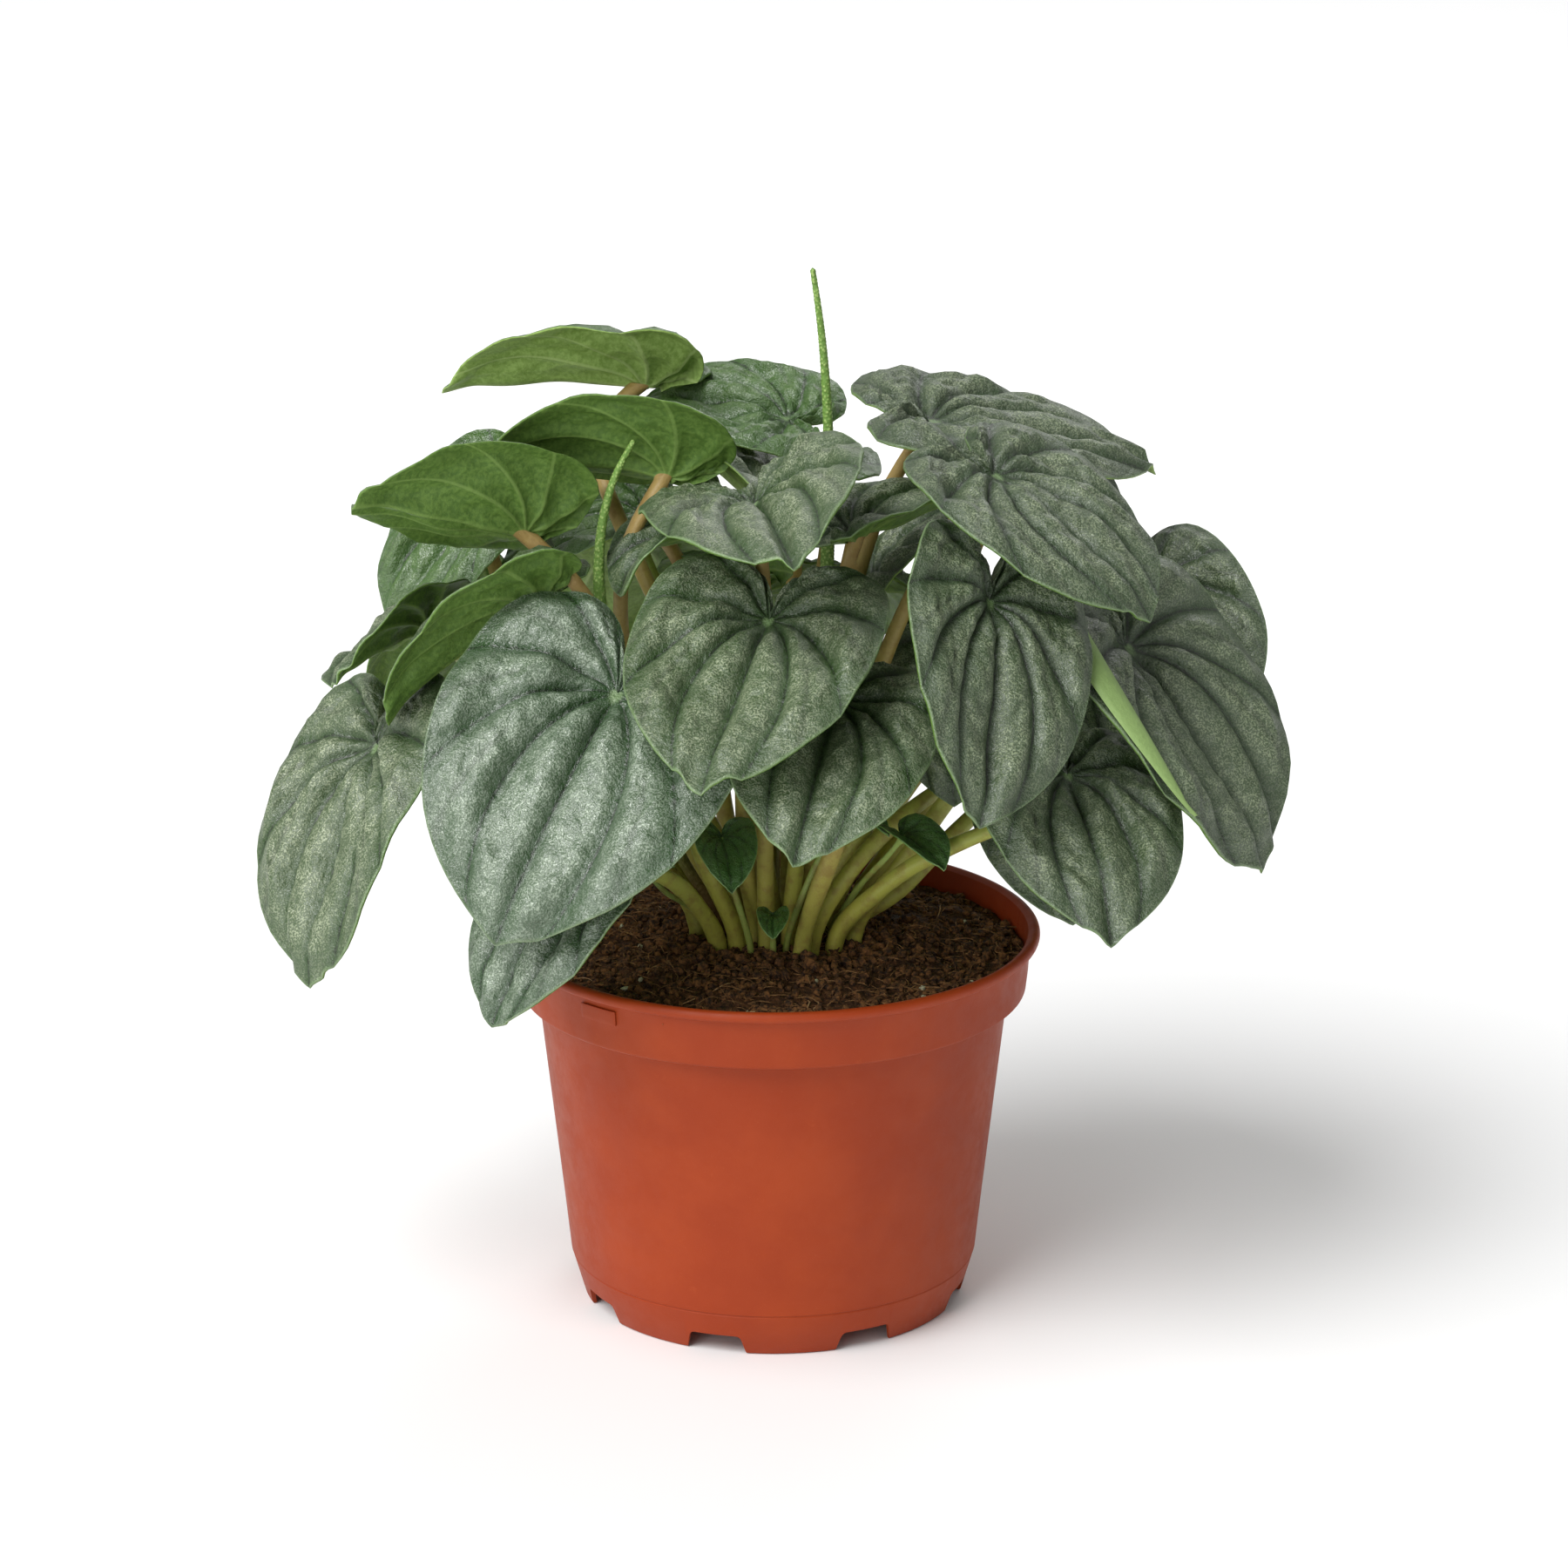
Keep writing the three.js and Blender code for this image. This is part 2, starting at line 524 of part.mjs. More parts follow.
const numbered = (name, i) => `${name}_${String(i + 1).padStart(2, '0')}`;

add('pot', potGeometry(), plastic);
add('soil', soilGeometry(), peat);
add('crown', crownGeometry(), crown);
SPIKES.forEach((spike, i) => add(numbered('flower_spike', i), spikeGeometry(spike), spikeSkin));
LEAVES.forEach((leaf, i) => add(numbered('leaf', i), leafGeometry(leaf), leafFace));
YOUNG_LEAVES.forEach((leaf, i) => add(numbered('young_leaf', i), leafGeometry(leaf), youngFace));

export default plant;
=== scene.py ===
import bpy
import bmesh
import math
import numpy as np
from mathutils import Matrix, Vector


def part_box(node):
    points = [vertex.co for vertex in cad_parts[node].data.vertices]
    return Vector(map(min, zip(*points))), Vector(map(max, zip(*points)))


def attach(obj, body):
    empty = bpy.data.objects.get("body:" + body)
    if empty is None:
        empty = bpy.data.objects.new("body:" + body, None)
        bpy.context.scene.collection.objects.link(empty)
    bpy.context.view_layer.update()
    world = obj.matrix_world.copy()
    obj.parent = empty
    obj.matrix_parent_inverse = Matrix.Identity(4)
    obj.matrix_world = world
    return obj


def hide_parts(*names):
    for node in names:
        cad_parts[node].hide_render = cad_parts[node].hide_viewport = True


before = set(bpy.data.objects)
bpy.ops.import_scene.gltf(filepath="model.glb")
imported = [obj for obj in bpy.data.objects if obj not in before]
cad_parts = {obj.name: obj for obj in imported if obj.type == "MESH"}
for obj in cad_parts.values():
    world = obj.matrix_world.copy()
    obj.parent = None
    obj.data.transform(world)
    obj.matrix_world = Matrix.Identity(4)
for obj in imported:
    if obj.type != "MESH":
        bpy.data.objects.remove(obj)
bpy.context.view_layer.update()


# ------------------------ pot
# The nursery pot: one injection moulding in terracotta-coloured plastic, with a rolled lip, a
# wide band, a tapered body, a base line and a skirt cut into eight feet. The floor is raised
# and drained. The plastic is satin, with a very fine grain and slight flow marks.

pot_low, pot_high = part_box("pot")
lip_radius = (pot_high.x - pot_low.x) / 2
pot_height = pot_high.z
wall = 0.0015
lip_height = 0.0032
band_z = pot_height - 0.0176
band_top = lip_radius - 0.002
band_foot = band_top - 0.0015
body_top = band_foot - 0.005
base_line = 0.0124
base_radius = body_top - 0.0088
ground_radius = base_radius - 0.0035
floor_z = 0.0062
notch_height = 0.0055
feet = 8
foot_turn = math.radians(5.5)


def nothing_selected():
    if bpy.context.object and bpy.context.object.mode == 'EDIT':
        bpy.ops.object.mode_set(mode='OBJECT')
    bpy.ops.object.select_all(action='DESELECT')


def only(piece):
    nothing_selected()
    piece.select_set(True)
    bpy.context.view_layer.objects.active = piece


def settle(piece, name):
    """Put the piece's place into its mesh, so that its object sits at the origin."""
    only(piece)
    bpy.ops.object.transform_apply(location=True, rotation=True, scale=True)
    piece.name = name
    piece.data.name = name
    return piece


def face_outwards(piece):
    only(piece)
    bpy.ops.object.mode_set(mode='EDIT')
    bpy.ops.mesh.select_all(action='SELECT')
    bpy.ops.mesh.normals_make_consistent(inside=False)
    bpy.ops.object.mode_set(mode='OBJECT')


def points_of(mesh):
    points = np.empty(len(mesh.vertices) * 3)
    mesh.vertices.foreach_get('co', points)
    return points.reshape(-1, 3)


def new_piece(name, vertices, faces):
    mesh = bpy.data.meshes.new(name)
    mesh.from_pydata(vertices.tolist(), [], faces)
    piece = bpy.data.objects.new(name, mesh)
    bpy.context.collection.objects.link(piece)
    return piece


def turned(name, outline, sides=192):
    """A turned piece: a ring of points pulled up and out, step by step, along its outline."""
    radius, height = outline[0]
    bpy.ops.mesh.primitive_circle_add(vertices=sides, radius=radius, fill_type='NOTHING',
                                      location=(0, 0, 0))
    piece = bpy.context.object
    bpy.ops.object.mode_set(mode='EDIT')
    bpy.ops.mesh.select_all(action='SELECT')
    bpy.ops.transform.translate(value=(0, 0, height))
    for next_radius, next_height in outline[1:]:
        bpy.ops.mesh.extrude_region_move(
            TRANSFORM_OT_translate={"value": (0, 0, next_height - height)})
        change = next_radius / radius
        bpy.ops.transform.resize(value=(change, change, 1))
        radius, height = next_radius, next_height
    bpy.ops.mesh.select_all(action='SELECT')
    bpy.ops.mesh.remove_doubles(threshold=1e-6)
    bpy.ops.mesh.normals_make_consistent(inside=False)
    bpy.ops.object.mode_set(mode='OBJECT')
    return settle(piece, name)


def rounded(centre, radius, start, end, steps):
    """Points round an arc in the outline's plane, angles in degrees."""
    return [(centre[0] + radius * math.cos(math.radians(start + (end - start) * i / steps)),
             centre[1] + radius * math.sin(math.radians(start + (end - start) * i / steps)))
            for i in range(steps + 1)]


def body_at(z):
    return base_radius + (body_top - base_radius) * (z - base_line) / (band_z - base_line)


def skirt_at(z):
    return ground_radius + (base_radius - ground_radius) * z / base_line


bead = lip_height / 2
lip_foot = pot_height - lip_height
shelf = band_z + wall
line_depth = 0.00022
middle_hole = 0.0046
pot_outline = [
    (skirt_at(0.004) - wall, 0.004),
    (ground_radius - wall + 0.0003, 0.0002),
    (ground_radius - wall + 0.0006, 0),
    (ground_radius - 0.0004, 0),
    (ground_radius, 0.0004),
    (skirt_at(base_line - 0.0009), base_line - 0.0009),
    (skirt_at(base_line - 0.0004), base_line - 0.0004),
    (base_radius - line_depth, base_line - 0.00015),
    (base_radius - line_depth, base_line + 0.00015),
    (body_at(base_line + 0.0004) + 0.0001, base_line + 0.0004),
    (body_at(base_line + 0.001) + 0.0001, base_line + 0.001),
    (body_at(0.03), 0.03),
    (body_at(0.06), 0.06),
    (body_at(band_z - 0.003), band_z - 0.003),
    (body_top - 0.0001, band_z - 0.0012),
    (body_top + 0.0003, band_z - 0.0003),
    (body_top + 0.0012, band_z),
]
pot_outline += rounded((band_foot - 0.0012, band_z + 0.0012), 0.0012, -90, 0, 6)
pot_outline += [(band_foot + 0.0005, band_z + 0.0055), (band_top - 0.0004, lip_foot - 0.0008),
                (band_top - 0.0001, lip_foot - 0.0002)]
pot_outline += rounded((lip_radius - bead * 0.8, pot_height - bead), bead, -70, 110, 12)
pot_outline += [(lip_radius - 0.003, pot_height - 0.0009), (band_top - wall, lip_foot),
                (band_foot + 0.0001 - wall, shelf + 0.0006), (band_foot - wall - 0.0006, shelf),
                (body_top - wall, shelf), (body_at(0.05) - wall, 0.05),
                (skirt_at(floor_z + wall + 0.001) - wall, floor_z + wall + 0.001),
                (skirt_at(floor_z + wall) - wall - 0.001, floor_z + wall),
                (0.02, floor_z + wall), (middle_hole, floor_z + wall), (middle_hole, floor_z),
                (0.02, floor_z), (skirt_at(floor_z) - wall - 0.0008, floor_z),
                (skirt_at(floor_z - 0.0008) - wall, floor_z - 0.0008),
                (skirt_at(0.004) - wall, 0.004)]
pot = turned("pot_moulding", pot_outline)

# the eight notches between the feet, and the drain holes beside them
notch_width, notch_reach, notch_round = 0.0145, 0.016, 0.0012
drain_radius = 0.0035
bpy.ops.mesh.primitive_cube_add(size=1, location=(0, -ground_radius, notch_height / 2 - 0.001))
cutter = bpy.context.object
cutter.scale = (notch_width, notch_reach, notch_height + 0.002)
bpy.ops.object.transform_apply(location=False, rotation=False, scale=True)
bpy.ops.object.mode_set(mode='EDIT')
cut_mesh = bmesh.from_edit_mesh(cutter.data)
bpy.ops.mesh.select_all(action='DESELECT')
for corner in cut_mesh.verts:
    corner.select = corner.co.z < 0
cut_mesh.select_flush(True)
bmesh.update_edit_mesh(cutter.data)
bpy.ops.transform.resize(value=(1.25, 1, 1))
bpy.ops.mesh.select_all(action='DESELECT')
for edge in cut_mesh.edges:
    ends = edge.verts
    edge.select = all(v.co.z > 0 for v in ends) and abs(ends[0].co.x - ends[1].co.x) < 1e-5
bmesh.update_edit_mesh(cutter.data)
bpy.ops.mesh.bevel(offset=notch_round, segments=3, affect='EDGES')
bpy.ops.object.mode_set(mode='OBJECT')
settle(cutter, "notch_cutter")
drain_ring = ground_radius - wall - 0.0115
bpy.ops.mesh.primitive_cylinder_add(vertices=32, radius=drain_radius, depth=0.006,
                                    location=(0, -drain_ring, floor_z + wall / 2))
drain = settle(bpy.context.object, "drain_cutter")
cutters = []
for foot in range(feet):
    turn = foot_turn + 2 * math.pi / feet * (foot + 0.5)
    for tool in (cutter, drain):
        copy = tool.copy()
        copy.data = tool.data.copy()
        bpy.context.collection.objects.link(copy)
        copy.rotation_euler.z = turn
        cutters.append(copy)
nothing_selected()
for copy in cutters:
    copy.select_set(True)
bpy.context.view_layer.objects.active = cutters[0]
bpy.ops.object.join()
all_cutters = settle(bpy.context.object, "pot_cutters")
cut = pot.modifiers.new("notches", 'BOOLEAN')
cut.object = all_cutters
cut.operation = 'DIFFERENCE'
cut.solver = 'EXACT'
only(pot)
bpy.ops.object.modifier_apply(modifier=cut.name)
for tool in (all_cutters, cutter, drain):
    bpy.data.objects.remove(tool)

# the blank moulded mark on the band, left of the front: a shallow raised plate
mark_turn = math.radians(-41)
mark_z = lip_foot - 0.0016
mark_radius = band_top - 0.0003
mark_width, mark_tall, mark_rise = 0.0125, 0.0042, 0.0005
bpy.ops.mesh.primitive_grid_add(x_subdivisions=12, y_subdivisions=3, size=1)
mark = bpy.context.object
mark.scale = (mark_width, mark_tall, 1)
bpy.ops.object.transform_apply(location=False, rotation=False, scale=True)
bpy.ops.object.mode_set(mode='EDIT')
bpy.ops.mesh.select_all(action='SELECT')
bpy.ops.mesh.extrude_region_move(TRANSFORM_OT_translate={"value": (0, 0, mark_rise)})
bpy.ops.object.mode_set(mode='OBJECT')
face_outwards(mark)
for corner in mark.data.vertices:
    across, up, out = corner.co
    angle = mark_turn + across / mark_radius
    reach = mark_radius - 0.00025 + out + up * 0.09
    corner.co = (reach * math.sin(angle), -reach * math.cos(angle), mark_z - 0.0025 + up)
soft_edge = mark.modifiers.new("soft edge", 'BEVEL')
soft_edge.width = 0.00015
soft_edge.segments = 2
only(mark)
bpy.ops.object.modifier_apply(modifier=soft_edge.name)
settle(mark, "pot_mark")

for piece in (pot, mark):
    only(piece)
    bpy.ops.object.shade_smooth_by_angle(angle=math.radians(32))


def colour(hexcode):
    """A colour by its screen code, as the shader takes it."""
    parts = [int(hexcode[i:i + 2], 16) / 255 for i in (0, 2, 4)]
    return tuple(c / 12.92 if c <= 0.04045 else ((c + 0.055) / 1.055) ** 2.4
                 for c in parts) + (1,)


class Nodes:
    """A node tree under way: its nodes are added and joined by short calls."""

    def __init__(self, tree):
        self.tree = tree

    def add(self, kind, **settings):
        node = self.tree.nodes.new(kind)
        for key, value in settings.items():
            setattr(node, key, value)
        return node

    def feed(self, sockets, values):
        """Give each socket its value: another node's output, a colour's code or a number."""
        for key, value in values.items():
            if isinstance(value, bpy.types.NodeSocket):
                self.tree.links.new(value, sockets[key])
            else:
                sockets[key].default_value = colour(value) if isinstance(value, str) else value

    def place(self):
        return self.add('ShaderNodeTexCoord').outputs['Object']

    def carried(self, name):
        return self.add('ShaderNodeAttribute', attribute_name=name).outputs['Fac']

    def noise(self, scale, detail=3.0, rough=0.5):
        node = self.add('ShaderNodeTexNoise')
        self.feed(node.inputs, {'Vector': self.place(), 'Scale': scale, 'Detail': detail,
                                'Roughness': rough})
        return node.outputs['Fac']

    def cells(self, scale):
        node = self.add('ShaderNodeTexVoronoi')
        self.feed(node.inputs, {'Vector': self.place(), 'Scale': scale})
        return node.outputs['Distance']

    def spread(self, value, low, high, to_low=0.0, to_high=1.0):
        """The value eased from to_low, where it is at low, to to_high, where it is at high."""
        node = self.add('ShaderNodeMapRange', interpolation_type='SMOOTHSTEP')
        self.feed(node.inputs, {'Value': value, 'From Min': low, 'From Max': high,
                                'To Min': to_low, 'To Max': to_high})
        return node.outputs['Result']

    def sums(self, operation, *values):
        node = self.add('ShaderNodeMath', operation=operation)
        self.feed(node.inputs, dict(enumerate(values)))
        return node.outputs[0]

    def mix(self, share, first, second):
        node = self.add('ShaderNodeMix', data_type='RGBA')
        self.feed(node.inputs, {0: share, 6: first, 7: second})
        return node.outputs[2]

    def bump(self, height, depth, under=None):
        node = self.add('ShaderNodeBump')
        self.feed(node.inputs, {'Height': height, 'Distance': depth, 'Strength': 1.0})
        if under:
            self.feed(node.inputs, {'Normal': under})
        return node.outputs['Normal']


class Finish(Nodes):
    """A material under way."""

    def __init__(self, name):
        self.material = bpy.data.materials.new(name)
        self.material.use_nodes = True
        super().__init__(self.material.node_tree)

    def coat(self, tone, rough, normal=None, specular=0.5):
        values = {'Base Color': tone, 'Roughness': rough, 'Specular IOR Level': specular}
        if normal:
            values['Normal'] = normal
        self.feed(self.tree.nodes["Principled BSDF"].inputs, values)
        return self.material


def coated(piece, *finishes):
    for finish in finishes:
        piece.data.materials.append(finish)


plastic = Finish("pot_plastic")
grain = plastic.noise(2600, 2)
flow = plastic.noise(28, 4, 0.6)
scuffs = plastic.noise(160, 5, 0.7)
tone = plastic.mix(plastic.spread(flow, 0.35, 0.7), "94340C", "9E3C12")
tone = plastic.mix(plastic.spread(scuffs, 0.62, 0.8, 0, 0.25), tone, "B4532A")
tone = plastic.mix(plastic.spread(grain, 0.66, 0.82, 0, 0.25), tone, "C06C40")
relief = plastic.bump(flow, 0.00035, plastic.bump(grain, 0.00003))
satin = plastic.coat(tone, plastic.spread(scuffs, 0.3, 0.75, 0.46, 0.6), relief, 0.28)
for piece in (pot, mark):
    coated(piece, satin)
    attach(piece, "root")
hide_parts("pot")


# ------------------------ peat
# The peat: dark, damp and crumbly, pressed into the pot and heaped a little towards the
# crown. Straw-coloured fibres, bark chips and a few pale grains lie in it.

soil_low, soil_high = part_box("soil")
soil_radius = (soil_high.x - soil_low.x) / 2
crown_low, crown_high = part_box("crown")
crown_radius = (crown_high.x - crown_low.x) / 2
mound_top = crown_high.z + 0.0004
soil_edge_z = soil_high.z - 0.002
chance = np.random.default_rng(7)
wave_turns = chance.uniform(0, 2 * math.pi, (40, 2))
wave_sizes = np.geomspace(0.0025, 0.03, 40)


def lumps(x, y):
    """Uneven height of the peat, from about -1 to 1."""
    height = 0.0
    for (turn, phase), size in zip(wave_turns, wave_sizes):
        step = (x * math.cos(turn) + y * math.sin(turn)) * 2 * math.pi / size + phase
        height = height + np.sin(step) * (size / 0.03) ** 0.55
    return height / 7.5


def peat_height(x, y):
    far = np.hypot(x, y)
    heap = np.clip((soil_radius - far) / (soil_radius - crown_radius * 0.85), 0, 1)
    heap = heap * heap * (3 - 2 * heap)
    level = soil_edge_z + (mound_top - soil_edge_z) * heap
    return level + lumps(x, y) * (0.0013 + 0.0003 * heap)


soil_steps = np.concatenate([[0.0], np.linspace(0.0008, 1, 96)]) * (soil_radius - 0.0002)
soil_outline = [(max(r, 0.0004), 0.1) for r in soil_steps[1:]]
shelf_top = shelf + 0.0003
band_in = soil_radius - 0.0003
soil_outline += [(band_in - 0.0004, shelf_top + 0.001), (band_in - 0.001, shelf_top),
                 (body_top - wall - 0.0003, shelf_top),
                 (skirt_at(floor_z + wall + 0.002) - wall - 0.0006, floor_z + wall + 0.0008),
                 (0.03, floor_z + wall + 0.0004), (0.0004, floor_z + wall + 0.0004)]
peat_bed = turned("peat_bed", soil_outline, 256)
only(peat_bed)
bpy.ops.object.mode_set(mode='EDIT')
bpy.ops.mesh.select_all(action='DESELECT')
bpy.ops.mesh.select_non_manifold()
bpy.ops.mesh.edge_face_add()
bpy.ops.object.mode_set(mode='OBJECT')
points = points_of(peat_bed.data)
top = points[:, 2] > 0.0999
points[top, 2] = peat_height(points[top, 0], points[top, 1])
peat_bed.data.vertices.foreach_set('co', points.ravel())
face_outwards(peat_bed)
bpy.ops.object.shade_smooth_by_angle(angle=math.radians(70))


def scattered(name, shapes, count, place, sizes, seed, tilts, sink):
    """Many small bodies as one piece: each is one of a few shapes, turned and sized at random."""
    dice = np.random.default_rng(seed)
    vertices, faces, start = [], [], 0
    for number in range(count):
        corners, sides = shapes[dice.integers(len(shapes))]
        x, y = place(dice)
        size = dice.uniform(*sizes)
        spin = dice.uniform(0, 2 * math.pi)
        tilt = dice.normal(0, tilts)
        turn = np.array([[math.cos(spin), -math.sin(spin), 0], [math.sin(spin), math.cos(spin), 0],
                         [0, 0, 1]])
        lean = np.array([[1, 0, 0], [0, math.cos(tilt), -math.sin(tilt)],
                         [0, math.sin(tilt), math.cos(tilt)]])
        body = corners * size @ lean.T @ turn.T
        deepest = -body[:, 2].min()
        ground = float(peat_height(np.float64(x), np.float64(y)))
        body = body + (x, y, ground + deepest * (1 - 2 * sink))
        vertices.append(body)
        faces.extend([tuple(start + i for i in side) for side in sides])
        start += len(corners)
    return new_piece(name, np.concatenate(vertices), faces)


def crumb_shapes(count, seed, squash=(0.5, 1.0)):
    """A few rough crumbs, each a ball with its points pushed in and out."""
    made = []
    dice = np.random.default_rng(seed)
    for number in range(count):
        bpy.ops.mesh.primitive_ico_sphere_add(subdivisions=1, radius=0.5)
        ball = bpy.context.object
        corners = points_of(ball.data)
        corners = corners * dice.uniform(0.7, 1.2, (len(corners), 1))
        corners = corners * (dice.uniform(0.7, 1.2), dice.uniform(0.6, 1.0), dice.uniform(*squash))
        made.append((corners, [tuple(p.vertices) for p in ball.data.polygons]))
        bpy.data.objects.remove(ball)
    return made


def fibre_shapes(count, seed, sides=4, steps=7):
    """A few bent fibres of unit length, thin and tapered at both ends."""
    made = []
    dice = np.random.default_rng(seed)
    for number in range(count):
        bend = dice.normal(0, 0.35, 3)
        lift = abs(dice.normal(0, 0.12))
        t = np.linspace(-0.5, 0.5, steps)
        path = np.stack([t, bend[0] * t * t + bend[1] * t ** 3 * 2, lift * np.cos(t * 3)], 1)
        corners, faces = [], []
        for i, centre in enumerate(path):
            width = 0.022 * (1 - (2 * t[i]) ** 4 * 0.7)
            for j in range(sides):
                angle = 2 * math.pi * j / sides
                corners.append(centre + (0, width * math.cos(angle), width * math.sin(angle)))
        for i in range(steps - 1):
            for j in range(sides):
                k = (j + 1) % sides
                faces.append((i * sides + j, i * sides + k, (i + 1) * sides + k,
                              (i + 1) * sides + j)[::-1])
        faces.append(tuple(range(sides)))
        faces.append(tuple(range((steps - 1) * sides, steps * sides))[::-1])
        made.append((np.array(corners), faces))
    return made


def on_the_peat(inner, outer):
    def place(dice):
        far = math.sqrt(dice.uniform(inner ** 2, outer ** 2))
        angle = dice.uniform(0, 2 * math.pi)
        return far * math.cos(angle), far * math.sin(angle)
    return place


peat = Finish("peat")
clods = peat.noise(420, 6, 0.7)
damp = peat.noise(70, 4, 0.6)
crumbly = peat.cells(900)
# The peat is darker where the clod noise is low, which the bump below sinks: partly its own dark
# brown, partly painted shade in the gaps between clods.
tone = peat.mix(peat.spread(clods, 0.32, 0.7), "241408", "7A5030")
tone = peat.mix(peat.spread(damp, 0.4, 0.66, 0, 0.55), tone, "442A16")
# the darkest brown in the cells' pits, also sunk by the bump: painted shade in the hollows over
# the peat's own dark tone
tone = peat.mix(peat.spread(crumbly, 0.0, 0.45, 0.55, 0), tone, "1C0F06")
relief = peat.bump(crumbly, 0.0005, peat.bump(clods, 0.0014))
coated(peat_bed, peat.coat(tone, peat.spread(damp, 0.35, 0.7, 0.72, 0.95), relief, 0.3))
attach(peat_bed, "root")
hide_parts("soil")


def fibrous(name, dark, light, rough):
    made = Finish(name)
    streak = made.noise(560, 4, 0.7)
    tone = made.mix(made.spread(streak, 0.35, 0.68), dark, light)
    return made.coat(tone, rough, made.bump(streak, 0.0002))


crumb = fibrous("peat_crumb", "26150A", "85592F", 0.9)
bark = fibrous("bark", "5A3820", "A06E42", 0.85)
dark_fibre = fibrous("peat_fibre", "5E4024", "A87C4E", 0.85)
straw_fibre = fibrous("straw_fibre", "A07040", "D4B084", 0.7)
pale_grain = fibrous("pale_grain", "9C9678", "D2D2B4", 0.6)

# what lies on the peat: name, shapes, count, where, smallest and largest size, seed, how far
# each body tilts, how deep it sinks, and its finish
open_peat = on_the_peat(0.0, soil_radius - 0.0012)
rim_peat = on_the_peat(crown_radius * 0.8, soil_radius - 0.0025)
stalk_feet = on_the_peat(crown_radius * 0.8, crown_radius * 1.3)
tumbled, lying = 1.5, 0.5
litter = [
    ("peat_crumbs", crumb_shapes(9, 3), 3600, open_peat, (0.0007, 0.0034), 11, tumbled, 0.3,
     crumb),
    ("heaped_crumbs", crumb_shapes(9, 4), 520, stalk_feet, (0.0014, 0.0042), 16, tumbled, 0.2,
     crumb),
    ("bark_chips", crumb_shapes(5, 5, (0.16, 0.3)), 110, rim_peat, (0.0018, 0.0046), 12, lying,
     0.25, bark),
    ("peat_fibres", fibre_shapes(8, 6), 1100, open_peat, (0.003, 0.009), 13, lying, 0.12,
     dark_fibre),
    ("straw_fibres", fibre_shapes(6, 8), 90, rim_peat, (0.003, 0.009), 14, lying, 0.1,
     straw_fibre),
    ("pale_grains", crumb_shapes(4, 9, (0.7, 1.0)), 26, rim_peat, (0.0009, 0.0026), 15, tumbled,
     0.05, pale_grain),
]
for *settings, finish in litter:
    piece = scattered(*settings)
    coated(piece, finish)
    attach(piece, "root")


# ------------------------ crown
# The crown: the short fleshy rootstock at the surface that every stalk leaves. Knobbly, olive
# and brown, half buried in the peat.

crown_depth = crown_high.z - crown_low.z
bpy.ops.mesh.primitive_uv_sphere_add(segments=96, ring_count=48, radius=1,
                                     location=(0, 0, 0))
rootstock = bpy.context.object
bpy.ops.object.mode_set(mode='EDIT')
bpy.ops.mesh.select_all(action='SELECT')
bpy.ops.transform.resize(value=(crown_radius * 0.93, crown_radius * 0.93, crown_depth / 2))
bpy.ops.transform.translate(value=(0, 0, (crown_low.z + crown_high.z) / 2 - 0.0002))
bpy.ops.object.mode_set(mode='OBJECT')
for corner in rootstock.data.vertices:
    x, y, z = corner.co
    knob = math.sin(x * 900 + 1.3 * math.sin(y * 700))
    knob = knob * math.sin(y * 1000 + 1.1 * math.sin(x * 620))
    corner.co.z = z + 0.0007 * knob
bpy.ops.object.shade_smooth()
settle(rootstock, "rootstock")
root_skin = Finish("crown")
patches = root_skin.noise(260, 5, 0.65)
tone = root_skin.mix(root_skin.spread(patches, 0.38, 0.64), "6A5430", "8E8A40")
coated(rootstock, root_skin.coat(tone, root_skin.spread(patches, 0.3, 0.7, 0.6, 0.85),
                                 root_skin.bump(patches, 0.0008)))
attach(rootstock, "root")
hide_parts("crown")


# ------------------------ leaves
# Each leaf is one grown piece: a heart-shaped, quilted blade about a millimetre thick on a
# fleshy round stalk. The main veins leave the joint of stalk and blade, arc outwards and run
# in to the tip and margin; they are sunken, and the blade is puffed up between them. The upper
# face is frosted silver over dark green, the underside plain matt green.


def smooth_through(knots, values):
    """A smooth curve through the values at the knots, natural at its ends."""
    knots = np.asarray(knots, float)
    values = np.asarray(values, float)
    gaps = np.diff(knots)
    count = len(knots)
    system = np.eye(count)
    right = np.zeros((count, values.shape[1]))
    slopes = np.diff(values, axis=0) / gaps[:, None]
    for i in range(1, count - 1):
        system[i, i - 1:i + 2] = gaps[i - 1], 2 * (gaps[i - 1] + gaps[i]), gaps[i]
        right[i] = 6 * (slopes[i] - slopes[i - 1])
    curving = np.linalg.solve(system, right)

    def at(where):
        where = np.clip(np.asarray(where, float), knots[0], knots[-1])
        i = np.clip(np.searchsorted(knots, where, 'right') - 1, 0, count - 2)
        before, after = where - knots[i], knots[i + 1] - where
        gap = gaps[i][..., None]
        a, b = after[..., None], before[..., None]
        return ((curving[i] * a ** 3 + curving[i + 1] * b ** 3) / (6 * gap)
                + (values[i] / gap - curving[i] * gap / 6) * a
                + (values[i + 1] / gap - curving[i + 1] * gap / 6) * b)
    return at


def nodes_named(start):
    return sorted(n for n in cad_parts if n.startswith(start))


